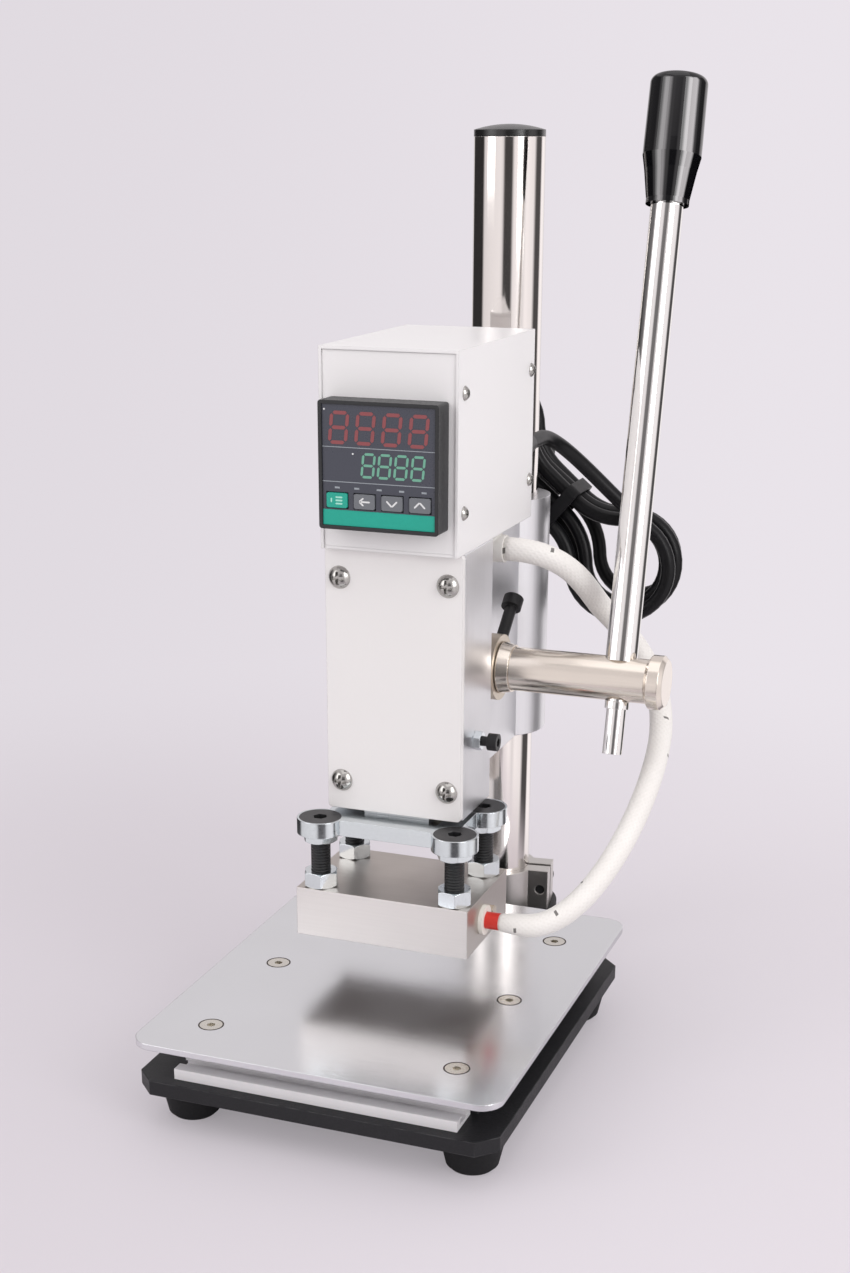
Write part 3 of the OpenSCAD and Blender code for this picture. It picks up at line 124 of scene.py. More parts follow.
def shader(name):
    """A new material with its node tree and its principled shader."""
    m = bpy.data.materials.new(name)
    m.use_nodes = True
    tree = m.node_tree
    tree.nodes.clear()
    p = node(tree, "BsdfPrincipled")
    out = node(tree, "OutputMaterial")
    tree.links.new(p.outputs[0], out.inputs[0])
    return m, tree, p


def principled(m):
    return next(n for n in m.node_tree.nodes if n.type == "BSDF_PRINCIPLED")


def noise(tree, vector, scale, detail, rough=0.5):
    return node(tree, "TexNoise", {"Vector": vector, "Scale": scale, "Detail": detail,
                                   "Roughness": rough}).outputs["Fac"]


def stretched(tree, vector, scale):
    return node(tree, "Mapping", {"Vector": vector, "Scale": scale}).outputs[0]


# Noise scales per metre, how far a noise is spread, and the shares of broad and fine noise in a finish
BROAD_SCALE, BROAD_DETAIL = 28.0, 4.0
FINE_DETAIL, FINE_ROUGH = 3.0, 0.6
WEAR_SCALE, WEAR_DETAIL = 160.0, 5.0
SPECK_SPAN, SPECK_SHARE, SPECK_TONE = (0.35, 0.65), 1.2, 0.7
WORN_EDGE, WORN_SPAN = (0.995, 0.80), (0.35, 0.62)
DRIFT_SPAN, BROAD_SHARE, FINE_SHARE = (0.3, 0.7), 0.6, 0.4
LEAST_ROUGH = 0.02
BEVEL_SAMPLES = 6
GRAIN_DEPTH = 0.4 * MM


def finish(name, color, rough, metal=0.0, tint=0.05, spread=0.06, grain=None, grain_size=900.0,
           bump=0.05, bevel=0.3, wear=None, wear_width=0.8, spec=0.5, ior=1.5):
    """A procedural finish in the part's own coordinates.

    tint is how far the colour drifts, spread how far the roughness does. grain stretches the fine
    texture along an axis, as (x, y, z) scales. bevel softens edges, in millimetres. wear is the
    colour of rubbed edges.
    """
    m, tree, p = shader(name)
    at = node(tree, "TexCoord").outputs["Object"]
    broad = noise(tree, at, BROAD_SCALE, BROAD_DETAIL)
    fine_at = stretched(tree, at, grain) if grain else at
    fine = noise(tree, fine_at, grain_size, FINE_DETAIL, FINE_ROUGH)
    colour = mix(tree, broad, rgba(color, 1 - tint), rgba(color, 1 + tint))
    speck = math_node(tree, "MULTIPLY", remap(tree, fine, *SPECK_SPAN), tint * SPECK_SHARE)
    colour = mix(tree, speck, colour, rgba(color, SPECK_TONE))
    rounded = node(tree, "Bevel", {"Radius": bevel * MM}, samples=BEVEL_SAMPLES).outputs[0]
    if wear:
        wide = node(tree, "Bevel", {"Radius": wear_width * MM}, samples=BEVEL_SAMPLES).outputs[0]
        flat = node(tree, "NewGeometry").outputs["Normal"]
        same = node(tree, "VectorMath", {0: wide, 1: flat}, operation="DOT_PRODUCT").outputs["Value"]
        edge = remap(tree, same, *WORN_EDGE)
        patches = remap(tree, noise(tree, at, WEAR_SCALE, WEAR_DETAIL), *WORN_SPAN)
        rubbed = math_node(tree, "MULTIPLY", edge, patches)
        colour = mix(tree, rubbed, colour, rgba(wear))
    tree.links.new(colour, p.inputs["Base Color"])
    drift = math_node(tree, "ADD", math_node(tree, "MULTIPLY", broad, BROAD_SHARE),
                      math_node(tree, "MULTIPLY", fine, FINE_SHARE))
    tree.links.new(remap(tree, drift, *DRIFT_SPAN, max(LEAST_ROUGH, rough - spread), rough + spread),
                   p.inputs["Roughness"])
    raised = node(tree, "Bump", {"Strength": bump, "Distance": GRAIN_DEPTH, "Height": fine,
                                 "Normal": rounded}).outputs[0]
    tree.links.new(raised, p.inputs["Normal"])
    p.inputs["Metallic"].default_value = metal
    p.inputs["Specular IOR Level"].default_value = spec
    p.inputs["IOR"].default_value = ior
    return m


# Finishes

LENGTHWISE_X = (0.02, 1.0, 1.0)
LENGTHWISE_Z = (1.0, 1.0, 0.02)

FINISH_VALUES = {
    "cast_black": dict(color=(0.020, 0.020, 0.022), rough=0.46, tint=0.25, spread=0.10, bump=0.35,
                       grain_size=1400.0, bevel=0.7, wear=(0.08, 0.08, 0.083), spec=0.22),
    "foot_rubber": dict(color=(0.014, 0.014, 0.015), rough=0.62, tint=0.2, bump=0.2, bevel=0.6, spec=0.2),
    "rail_aluminium": dict(color=(0.82, 0.81, 0.82), rough=0.55, grain=LENGTHWISE_X, bump=0.10, bevel=0.2,
                           spec=0.3),
    "plate_steel": dict(color=(0.79, 0.80, 0.82), rough=0.22, metal=1.0, tint=0.03, spread=0.04,
                        grain=LENGTHWISE_X, grain_size=1500.0, bump=0.05, bevel=0.5),
    "small_steel": dict(color=(0.72, 0.69, 0.63), rough=0.26, metal=1.0, tint=0.10, bump=0.05, bevel=0.2),
    "column_chrome": dict(color=(0.87, 0.83, 0.795), rough=0.08, metal=1.0, tint=0.02, spread=0.03,
                          grain=LENGTHWISE_Z, bump=0.012, bevel=0.4),
    "black_cap": dict(color=(0.010, 0.010, 0.010), rough=0.24, tint=0.2, bump=0.04, bevel=0.5, ior=1.6),
    "collar_metal": dict(color=(0.62, 0.60, 0.575), rough=0.36, metal=1.0, bump=0.05, bevel=0.5),
    "black_steel": dict(color=(0.018, 0.018, 0.019), rough=0.36, tint=0.25, bump=0.06, bevel=0.25,
                        wear=(0.08, 0.08, 0.08), wear_width=0.3, spec=0.25),
    "head_aluminium": dict(color=(0.80, 0.80, 0.82), rough=0.38, metal=1.0, tint=0.03, spread=0.07,
                           grain=LENGTHWISE_Z, grain_size=1300.0, bump=0.07, bevel=0.6),
    "cover_white": dict(color=(0.80, 0.785, 0.775), rough=0.38, tint=0.012, spread=0.05, grain_size=1100.0,
                        bump=0.05, bevel=0.5),
    "zinc": dict(color=(0.70, 0.745, 0.765), rough=0.17, metal=1.0, tint=0.07, spread=0.05, bump=0.04,
                 bevel=0.35),
    "bronze": dict(color=(0.66, 0.58, 0.48), rough=0.34, metal=1.0, tint=0.12, bump=0.06, bevel=0.4),
    "box_white": dict(color=(0.82, 0.81, 0.81), rough=0.36, tint=0.012, spread=0.05, grain_size=1100.0,
                      bump=0.05, bevel=0.5),
    "bezel_black": dict(color=(0.016, 0.017, 0.019), rough=0.40, tint=0.15, bump=0.10, bevel=0.5),
    "facia_grey": dict(color=(0.052, 0.056, 0.075), rough=0.30, tint=0.06, bump=0.02, bevel=0.1),
    "case_black": dict(color=(0.018, 0.018, 0.019), rough=0.5, tint=0.15, bump=0.12, bevel=0.4),
    "key_green": dict(color=(0.010, 0.36, 0.265), rough=0.45, tint=0.06, bump=0.04, bevel=0.4),
    "key_grey": dict(color=(0.15, 0.16, 0.175), rough=0.42, tint=0.06, bump=0.04, bevel=0.4),
    "rocker_red": dict(color=(0.50, 0.015, 0.012), rough=0.24, tint=0.06, bump=0.02, bevel=0.4),
    "nickel": dict(color=(0.80, 0.735, 0.66), rough=0.20, metal=1.0, tint=0.05, spread=0.06,
                   grain=LENGTHWISE_X, bump=0.03, bevel=0.5),
    "gear_steel": dict(color=(0.46, 0.47, 0.48), rough=0.34, metal=1.0, tint=0.08, bump=0.06, bevel=0.15),
    "rod_chrome": dict(color=(0.86, 0.845, 0.825), rough=0.08, metal=1.0, tint=0.02, spread=0.03,
                       grain=LENGTHWISE_Z, bump=0.012, bevel=0.4),
    "grip_black": dict(color=(0.004, 0.004, 0.005), rough=0.0, tint=0.15, bump=0.002, bevel=0.2, ior=1.55),
    "ram_steel": dict(color=(0.55, 0.56, 0.57), rough=0.30, metal=1.0, tint=0.06, grain=LENGTHWISE_Z,
                      bump=0.06, bevel=0.3),
    "heat_aluminium": dict(color=(0.80, 0.77, 0.75), rough=0.36, metal=1.0, tint=0.04, spread=0.08,
                           grain=LENGTHWISE_X, grain_size=1200.0, bump=0.10, bevel=0.5),
    "ceramic": dict(color=(0.80, 0.78, 0.72), rough=0.5, tint=0.05, bump=0.12, bevel=0.3),
    "sleeve_red": dict(color=(0.62, 0.028, 0.016), rough=0.42, tint=0.08, bump=0.10, bevel=0.4),
    "bush_cream": dict(color=(0.79, 0.775, 0.74), rough=0.5, tint=0.05, bump=0.10, bevel=0.5),
    "cord_black": dict(color=(0.006, 0.006, 0.007), rough=0.34, tint=0.2, bump=0.05, bevel=0.3, spec=0.22),
    "plug_black": dict(color=(0.007, 0.007, 0.008), rough=0.42, tint=0.15, bump=0.10, bevel=0.6, spec=0.2),
}
FINISHES = {name: finish(name, **values) for name, values in FINISH_VALUES.items()}


def threaded(low, high, pitch):
    """Black screw steel with a thread between two heights."""
    m = finish("black_thread", (0.018, 0.018, 0.019), 0.36, tint=0.25, bump=0.06, bevel=0.25)
    tree, p = m.node_tree, principled(m)
    old = p.inputs["Normal"].links[0].from_socket
    at = node(tree, "TexCoord").outputs["Object"]
    z = node(tree, "SeparateXYZ", {0: at}).outputs["Z"]
    turn = math_node(tree, "PINGPONG", z, pitch / 2)
    inside = math_node(tree, "MULTIPLY", math_node(tree, "GREATER_THAN", z, low),
                       math_node(tree, "LESS_THAN", z, high))
    height = math_node(tree, "MULTIPLY", turn, inside)
    ridged = node(tree, "Bump", {"Strength": 1.0, "Distance": 1.0, "Height": height, "Normal": old})
    tree.links.new(ridged.outputs[0], p.inputs["Normal"])
    return m


slot_of = {s["node"]: s["material_slot"] for s in frame["record"]["subparts"]}


def dress(name, material):
    mesh = nodes[name].data
    mesh.materials.clear()
    mesh.materials.append(material)


for name in nodes:
    if slot_of[name] in FINISHES:
        dress(name, FINISHES[slot_of[name]])

STUD_PITCH = 1.25 * MM
dress("stud_screws", threaded(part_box("heating_block")[1].z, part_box("stud_plate")[0].z, STUD_PITCH))

# Painted shade by facing: the top and ends take a tone that is part stain, part painted shade; the
# underside is painted dark and less metallic as shade
FACING_SIDE, FACING_DOWN = (0.5, 0.8), (-0.6, -0.9)
UNDER_SHADE_METAL = 0.3


def stain_and_shade_by_facing(m, side, under_shade):
    """Leaves a heated block's front and back bright, paints its top and ends with a stain and painted
    shade, and paints its underside dark and less metallic as painted shade.
    """
    tree, p = m.node_tree, principled(m)
    facing = node(tree, "SeparateXYZ", {0: node(tree, "TexCoord").outputs["Normal"]})
    up = facing.outputs["Z"]
    front = remap(tree, math_node(tree, "ABSOLUTE", facing.outputs["Y"]), *FACING_SIDE)
    clean = p.inputs["Base Color"].links[0].from_socket
    colour = mix(tree, front, rgba(side), clean)
    colour = mix(tree, remap(tree, up, *FACING_DOWN), colour, rgba(under_shade))
    tree.links.new(colour, p.inputs["Base Color"])
    tree.links.new(remap(tree, up, *FACING_DOWN, 1.0, UNDER_SHADE_METAL), p.inputs["Metallic"])


def polished(m):
    """Makes a finish mirror-smooth, which the soft boxes need to show in it."""
    p = principled(m)
    m.node_tree.links.remove(p.inputs["Roughness"].links[0])
    p.inputs["Roughness"].default_value = 0.0


polished(FINISHES["grip_black"])
# The heating block's side tone is stain and painted shade, and its under tone is painted shade
stain_and_shade_by_facing(FINISHES["heat_aluminium"], side=(0.52, 0.475, 0.44), under_shade=(0.13, 0.105, 0.09))
SCREW_STEEL = finish("screw_steel", (0.46, 0.45, 0.43), 0.18, 1.0, tint=0.08, bump=0.03, bevel=0.25)
dress("cover_screws", SCREW_STEEL)
dress("box_screws", SCREW_STEEL)

# Pieces


def add_mesh(name, build, material, body=None):
    """Makes a mesh piece with a bmesh function."""
    bm = bmesh.new()
    build(bm)
    bmesh.ops.recalc_face_normals(bm, faces=bm.faces)
    mesh = bpy.data.meshes.new(name)
    bm.to_mesh(mesh)
    bm.free()
    mesh.materials.append(material)
    obj = bpy.data.objects.new(name, mesh)
    scene.collection.objects.link(obj)
    if body:
        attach(obj, body)
    return obj


def cubic_path(spans, steps):
    """Points along cubic spans of two knots and two handles."""
    out = [Vector(spans[0][0])]
    for span in spans:
        a, b, c, d = (Vector(v) for v in span)
        for k in range(1, steps + 1):
            s = k / steps
            r = 1 - s
            out.append(r ** 3 * a + 3 * s * r ** 2 * b + 3 * s * s * r * c + s ** 3 * d)
    return out


def tube(bm, path, radius, sides):
    """Sweeps a closed tube along a path, with a UV map in metres along it and turns around it.

    radius is a number, or a function of a point's place in the path.
    """
    uv = bm.loops.layers.uv.new("along")
    normal = Vector((0, 1, 0))
    rings, far = [], [0.0]
    for i, point in enumerate(path):
        ahead = path[min(i + 1, len(path) - 1)] - path[max(i - 1, 0)]
        t = ahead.normalized()
        normal = (normal - normal.dot(t) * t).normalized()
        side = t.cross(normal)
        r = radius(i) if callable(radius) else radius
        rings.append([bm.verts.new(point + r * (math.cos(a) * normal + math.sin(a) * side))
                      for a in (2 * math.pi * k / sides for k in range(sides))])
        if i:
            far.append(far[-1] + (path[i] - path[i - 1]).length)
    for i in range(len(path) - 1):
        for k in range(sides):
            n = (k + 1) % sides
            face = bm.faces.new((rings[i][k], rings[i][n], rings[i + 1][n], rings[i + 1][k]))
            face.smooth = True
            spots = ((far[i], k), (far[i], k + 1), (far[i + 1], k + 1), (far[i + 1], k))
            for loop, (u, v) in zip(face.loops, spots):
                loop[uv].uv = (u, v / sides)
    bm.faces.new(list(reversed(rings[0])))
    bm.faces.new(rings[-1])


# Heater cable

SLEEVE_LOW, SLEEVE_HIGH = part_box("heater_sleeve")
SLEEVE_MID = (SLEEVE_LOW + SLEEVE_HIGH) / 2
SLEEVE_END = Vector((SLEEVE_HIGH.x, SLEEVE_MID.y, SLEEVE_MID.z))
CABLE_D = 9.6 * MM
CABLE_START = Vector((28, 44, 210.5)) * MM
CABLE_TOP = [(56.5, 66, 190.5), (63, 70, 182.5)]
CABLE_BACK = [(70.5, 75.5, 173), (83, 99.5, 151.5), (90, 68, 133.5)]
CABLE_LOW = (96.5, 39.5, 116.5)
# Straight stretch out of the elbow, and the reach of the handles at both ends
CABLE_STRAIGHT, HANDLE_TOP, HANDLE_END = 3, 26, 28.5
CABLE_STEPS, SLEEVE_STEPS, CABLE_SIDES = 40, 8, 24
# The sleeving is drawn in over the last stretch, onto the red sleeve
DRAWN_LENGTH, DRAWN_SHARE, DRAWN_POWER = 12 * MM, 0.70, 0.6
# The braid: strands per metre and round the cable, its surface, its tones, and the painted shade in its
# hollows
BRAID_ALONG, BRAID_AROUND, BRAID_DEPTH = 420.0, 14.0, 0.2 * MM
BRAID_BUMP, BRAID_ROUGH, BRAID_SHEEN = 0.22, 0.55, 0.2
BRAID_SCALE, BRAID_DARK, BRAID_PALE = 45.0, (0.80, 0.775, 0.735), (0.88, 0.865, 0.835)
HOLLOW_SPAN, HOLLOW_SHADE, HOLLOW_SHADE_TONE = (0.2, -0.9), 0.14, (0.62, 0.59, 0.54)
# Stitches of the dark tracer thread: their length is a share of the pitch, and half their width a share of
# a turn; the thread makes some turns per metre
STITCH_PITCH, STITCH_LENGTH, STITCH_WIDTH, STITCH_TURNS = 17 * MM, 0.07, 0.04, 9.0
STITCH_SHADE, STITCH_TONE = 0.85, (0.05, 0.045, 0.04)


def cable_path():
    def out(reach):
        return Vector((reach * MM, 0, 0))

    first = CABLE_START + out(CABLE_STRAIGHT)
    last = SLEEVE_END + Vector((CABLE_D, 0, 0))
    a, b = (Vector(v) * MM for v in CABLE_TOP)
    c, d, e = (Vector(v) * MM for v in CABLE_BACK)
    spans = [(first, first + out(HANDLE_TOP), a, b), (b, c, d, e),
             (e, Vector(CABLE_LOW) * MM, last + out(HANDLE_END), last)]
    straight = [SLEEVE_END + Vector((CABLE_D * k / SLEEVE_STEPS, 0, 0))
                for k in reversed(range(SLEEVE_STEPS))]
    return [CABLE_START, *cubic_path(spans, CABLE_STEPS), *straight]


def sleeving():
    """White braided sleeving with a few dark tracer stitches."""
    m, tree, p = shader("cable_sleeving")
    uv = node(tree, "UVMap", uv_map="along").outputs[0]
    part = node(tree, "SeparateXYZ", {0: uv})
    along, around = part.outputs["X"], part.outputs["Y"]
    braid = []
    for turn in (1, -1):
        lean = math_node(tree, "ADD", math_node(tree, "MULTIPLY", along, BRAID_ALONG * turn),
                         math_node(tree, "MULTIPLY", around, BRAID_AROUND))
        braid.append(math_node(tree, "SINE", math_node(tree, "MULTIPLY", lean, 2 * math.pi)))
    weave = math_node(tree, "MAXIMUM", *braid)
    broad = noise(tree, node(tree, "TexCoord").outputs["Object"], BRAID_SCALE, BROAD_DETAIL)
    colour = mix(tree, broad, rgba(BRAID_DARK), rgba(BRAID_PALE))
    # Painted shade: the braid's hollows are darkened towards the hollow shade tone
    hollow_shade = remap(tree, weave, *HOLLOW_SPAN, 0.0, HOLLOW_SHADE)
    colour = mix(tree, hollow_shade, colour, rgba(HOLLOW_SHADE_TONE))
    step = math_node(tree, "FRACT", math_node(tree, "MULTIPLY", along, 1 / STITCH_PITCH))
    bar = math_node(tree, "LESS_THAN", step, STITCH_LENGTH)
    wound = math_node(tree, "ADD", around, math_node(tree, "MULTIPLY", along, STITCH_TURNS))
    aside = math_node(tree, "SUBTRACT", math_node(tree, "FRACT", wound), 0.5)
    track = math_node(tree, "LESS_THAN", math_node(tree, "ABSOLUTE", aside), STITCH_WIDTH)
    stitch = math_node(tree, "MULTIPLY", math_node(tree, "MULTIPLY", bar, track), STITCH_SHADE)
    colour = mix(tree, stitch, colour, rgba(STITCH_TONE))
    tree.links.new(colour, p.inputs["Base Color"])
    raised = node(tree, "Bump", {"Strength": BRAID_BUMP, "Distance": BRAID_DEPTH, "Height": weave})
    tree.links.new(raised.outputs[0], p.inputs["Normal"])
    p.inputs["Roughness"].default_value = BRAID_ROUGH
    p.inputs["Sheen Weight"].default_value = BRAID_SHEEN
    return m


def add_cable():
    path = cable_path()

    def radius(i):
        left = min(1.0, (path[-1] - path[i]).length / DRAWN_LENGTH)
        return CABLE_D / 2 * (DRAWN_SHARE + (1 - DRAWN_SHARE) * left ** DRAWN_POWER)

    cable = add_mesh("heater_lead", lambda bm: tube(bm, path, radius, CABLE_SIDES), sleeving())
    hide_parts("heater_cable")
    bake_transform(cable)


add_cable()

# Mains lead

CORD_D = 6.5 * MM
LEAD_X, LEAD_Z = 20, 245
GLAND_END, LEAD_STRAIGHT, LEAD_BEND = 97.2, 114, 25
HANK_TURN = math.radians(50)
HANK_AT = Vector((13.5, 162.1, 212))
HANK_ALONG = Vector((math.sin(HANK_TURN), 0, -math.cos(HANK_TURN)))
HANK_ACROSS = Vector((math.cos(HANK_TURN), 0, math.sin(HANK_TURN)))
HANK_RUN, HANK_WAIST, FOLD_R, NECK_R = 9, 4.4, 19.5, 31
HANK_STEP, HANK_LAYER, HANK_MID = 7.05, 7, 2.25
HANK_START, HANK_END = 0.9, 4.24
# The half loops in which the lead climbs to its next layer
HANK_CLIMBS = (2, 4, 6)
# The tail rises off the hank over this share of a loop, and then runs to the plug
TAIL_LIFT, TAIL_START, TAIL_SPAN = 12.4, 3.8, 0.4
LOOP_STEPS, BEND_STEPS, CORD_ROUNDNESS = 96, 30, 5
# The source draws the same hank with fewer steps to a loop, and both end on the same one
SOURCE_STEPS = 24
HANK_COUNT = LOOP_STEPS // SOURCE_STEPS * round(SOURCE_STEPS * (HANK_END - HANK_START))
A_LITTLE = 0.004
FOLD_TURN = math.acos((HANK_WAIST + NECK_R) / (FOLD_R + NECK_R))
NECK_L = NECK_R * FOLD_TURN
QUARTER_L = HANK_RUN + NECK_L + FOLD_R * (FOLD_TURN + math.pi / 2)


def quarter(q):
    """A point of the innermost loop between the waist and the tip, and the outward direction there."""
    n = q * QUARTER_L - HANK_RUN
    f = n - NECK_L
    if n < 0:
        return Vector((n + HANK_RUN, HANK_WAIST)), Vector((0, 1))
    if f < 0:
        a = n / NECK_R
        at = Vector((HANK_RUN + NECK_R * math.sin(a), HANK_WAIST + NECK_R * (1 - math.cos(a))))
    else:
        a = FOLD_TURN - f / FOLD_R
        at = Vector((HANK_RUN + NECK_R * math.sin(FOLD_TURN) + FOLD_R * (math.sin(FOLD_TURN) - math.sin(a)),
                     HANK_WAIST + NECK_R * (1 - math.cos(FOLD_TURN))
                     + FOLD_R * (math.cos(a) - math.cos(FOLD_TURN))))
    return at, Vector((-math.sin(a), math.cos(a)))


def ease(s):
    s = min(1.0, max(0.0, s))
    return s * s * (3 - 2 * s)


def hank_point(t):
    """A point of the hank after t loops: in and out by one step, layer after layer."""
    grow = HANK_STEP * (abs((t - HANK_MID + 3) % 2 - 1) - 0.25)
    climb = (HANK_LAYER * (sum(ease(2 * t - k) for k in HANK_CLIMBS) - len(HANK_CLIMBS) / 2)
             + TAIL_LIFT * ease((t - TAIL_START) / TAIL_SPAN))
    f = 4 * (t - math.floor(t))
    k = int(f)
    at, out = quarter(1 - f + k if k % 2 == 0 else f - k)
    at = at + grow * out
    return (HANK_AT + (at.x if k in (0, 3) else -at.x) * HANK_ALONG
            + (-at.y if k < 2 else at.y) * HANK_ACROSS + Vector((0, climb, 0)))


def mains_path():
    loops = [hank_point(HANK_START + i / LOOP_STEPS) for i in range(HANK_COUNT + 1)]
    first = Vector((LEAD_X, LEAD_STRAIGHT, LEAD_Z))
    into = (hank_point(HANK_START + A_LITTLE) - loops[0]).normalized()
    span = (first, first + Vector((0, LEAD_BEND, 0)), loops[0] - LEAD_BEND * into, loops[0])
    bend = cubic_path([span], BEND_STEPS)
    end = loops[-1] - CORD_D / MM * HANK_ALONG
    return [p * MM for p in [Vector((LEAD_X, GLAND_END, LEAD_Z)), *bend, *loops[1:], end]]


def add_mains_lead():
    path = mains_path()
    data = bpy.data.curves.new("mains_lead", "CURVE")
    data.dimensions = "3D"
    data.bevel_depth = CORD_D / 2
    data.bevel_resolution = CORD_ROUNDNESS
    data.use_fill_caps = True
    line = data.splines.new("POLY")
    line.points.add(len(path) - 1)
    for point, at in zip(line.points, path):
        point.co = (*at, 1)
    line.use_smooth = True
    data.materials.append(FINISHES["cord_black"])
    lead = bpy.data.objects.new("mains_lead", data)
    scene.collection.objects.link(lead)
    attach(lead, "head")
    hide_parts("power_cord", "power_hank")


add_mains_lead()

# Painted shade: dark rings laid on the plate round the plate screws, standing for the shade in their
# countersinks

PLATE_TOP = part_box("work_plate")[1].z
PLATE_SCREW_X, PLATE_SCREW_Y = 51.5, (-77, -13.5, 50)
GAP_INNER, GAP_OUTER, GAP_SIDES = 4.55, 5.15, 32
GAP_Z = PLATE_TOP + 0.03 * MM
# Painted shade: the dark colour of the rings round the screw heads
GAP_PAINTED_SHADE = finish("gap_painted_shade", (0.06, 0.05, 0.045), 0.6, bevel=0.05, spec=0.2)


def screw_gap_shade(bm):
    for x in (-PLATE_SCREW_X, PLATE_SCREW_X):
        for y in PLATE_SCREW_Y:
            rings = []
            for r in (GAP_INNER, GAP_OUTER):
                rings.append([bm.verts.new(((x + r * math.cos(a)) * MM, (y + r * math.sin(a)) * MM, GAP_Z))
                              for a in (2 * math.pi * k / GAP_SIDES for k in range(GAP_SIDES))])
            for k in range(GAP_SIDES):
                n = (k + 1) % GAP_SIDES
                bm.faces.new((rings[0][k], rings[1][k], rings[1][n], rings[0][n]))


add_mesh("screw_gap_shade", screw_gap_shade, GAP_PAINTED_SHADE, "base")

# Return spring

SPRING_WIRE = 1.3 * MM
SPRING_CURLS, CURL_STEPS, WIRE_SIDES = 7, 24, 10
# Height of the plain wire at each end, in wire diameters
SPRING_LEAD = 2.4


def add_spring():
    low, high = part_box("return_spring")
    wire, lead = SPRING_WIRE, SPRING_LEAD * SPRING_WIRE
    r = (high.x - low.x - wire) / 2
    mid = Vector(((low.x + high.x) / 2, (low.y + high.y) / 2, 0))
    bottom, top = low.z, high.z
    path = [mid + Vector((r, 0, bottom)), mid + Vector((r, 0, bottom + wire))]
    count = CURL_STEPS * SPRING_CURLS
    for i in range(count + 1):
        a = 2 * math.pi * i / CURL_STEPS
        z = bottom + lead + (top - bottom - 2 * lead) * i / count
        path.append(mid + Vector((r * math.cos(a), r * math.sin(a), z)))
    path += [mid + Vector((r, 0, top - wire)), mid + Vector((r, 0, top))]
    coil = add_mesh("spring_coil", lambda bm: tube(bm, path, wire / 2, WIRE_SIDES), FINISHES["gear_steel"])
    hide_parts("return_spring")
    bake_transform(coil)


add_spring()

# Controller face

facia_low, facia_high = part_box("controller_facia")
FACE_Y = facia_low.y
FACE_Z = (facia_low.z + facia_high.z) / 2
PRINT_T = 0.10 * MM
DIGIT_LEAN = 0.10
DISC_SIDES = 20
SIGN_HALF = 0.32


def plain(name, color, rough=0.35, glow=0.0):
    """A printed or lit mark."""
    m = finish(name, color, rough, tint=0.08, bump=0.02, bevel=0.05)
    if glow:
        p = principled(m)
        p.inputs["Emission Color"].default_value = rgba(color)
        p.inputs["Emission Strength"].default_value = glow
    return m


def slab(bm, outline, y, depth):
    """A thin prism from an outline in X and Z, in metres, its back on y and its face towards the front."""
    back = [bm.verts.new((x, y, z)) for x, z in outline]
    front = [bm.verts.new((x, y - depth, z)) for x, z in outline]
    bm.faces.new(back)
    bm.faces.new(list(reversed(front)))
    for i in range(len(outline)):
        n = (i + 1) % len(outline)
        bm.faces.new((back[i], front[i], front[n], back[n]))


def rectangle(x0, x1, z0, z1):
    return [(x0, z0), (x1, z0), (x1, z1), (x0, z1)]


def segment(x0, z0, x1, z1, half):
    """A pointed bar from one end to the other, as on a segment display."""
    a, b = Vector((x0, z0)), Vector((x1, z1))
    t = (b - a).normalized()
    n = Vector((-t.y, t.x))
    inner_a, inner_b = a + t * half, b - t * half
    return [tuple(v) for v in (a, inner_a - n * half, inner_b - n * half, b, inner_b + n * half,
                               inner_a + n * half)]


def eight(bm, left, right, low, high, half, gap):
    """All seven segments of one digit, leaning to the right."""
    x0, x1, z0, z2 = left + half, right - half, low + half, high - half
    z1 = (z0 + z2) / 2
    bars = [((x0 + gap, z), (x1 - gap, z)) for z in (z0, z1, z2)]
    bars += [((x, a + gap), (x, b - gap)) for x in (x0, x1) for a, b in ((z0, z1), (z1, z2))]
    for (ax, az), (bx, bz) in bars:
        shape = segment(ax, az, bx, bz, half)
        shape = [((x + DIGIT_LEAN * (z - z1)) * MM, z * MM + FACE_Z) for x, z in shape]
        slab(bm, shape, FACE_Y, PRINT_T)


def digits(spans, low, high, half, gap):
    def build(bm):
        for left, right in spans:
            eight(bm, left, right, low, high, half, gap)
    return build


def marks(boxes):
    def build(bm):
        for x0, x1, z0, z1 in boxes:
            outline = [(x * MM, z * MM + FACE_Z) for x, z in rectangle(x0, x1, z0, z1)]
            slab(bm, outline, FACE_Y, PRINT_T)
    return build


def disc(bm, x, z, r):
    turns = [2 * math.pi * k / DISC_SIDES for k in range(DISC_SIDES)]
    outline = [((x + r * math.cos(a)) * MM, (z + r * math.sin(a)) * MM + FACE_Z) for a in turns]
    slab(bm, outline, FACE_Y, PRINT_T)


# The face's layout in millimetres from its middle: left and right, or low and high
RED_SPANS = [(-19.7, -11.9), (-9.1, -1.3), (1.5, 9.3), (12.1, 19.9)]
GREEN_SPANS = [(-6.8, -1.3), (-0.3, 5.2), (6.3, 11.8), (13.0, 18.5)]
RED_HEIGHT, GREEN_HEIGHT = (7.9, 20.2), (-4.2, 5.2)
EDGE = 22.5
RULES = [(-EDGE, EDGE, 6.7, 7.0), (-EDGE, EDGE, -6.2, -5.9)]
TICKS = [(x - 1.0, x + 1.0, -8.6, -7.9) for x in (-16.6, -8.7, 0.3, 9.3, 18.2)]
BAND = (-EDGE, EDGE, -22.5, -16.6)
DOTS, DOT_R = [(-21.6, 20.6), (-10.2, 4.6)], 0.35
add_mesh("upper_digits", digits(RED_SPANS, *RED_HEIGHT, half=0.68, gap=0.35),
         plain("digit_red", (0.25, 0.062, 0.068), glow=0.04), "head")
add_mesh("lower_digits", digits(GREEN_SPANS, *GREEN_HEIGHT, half=0.48, gap=0.28),
         plain("digit_green", (0.14, 0.36, 0.26), glow=0.08), "head")
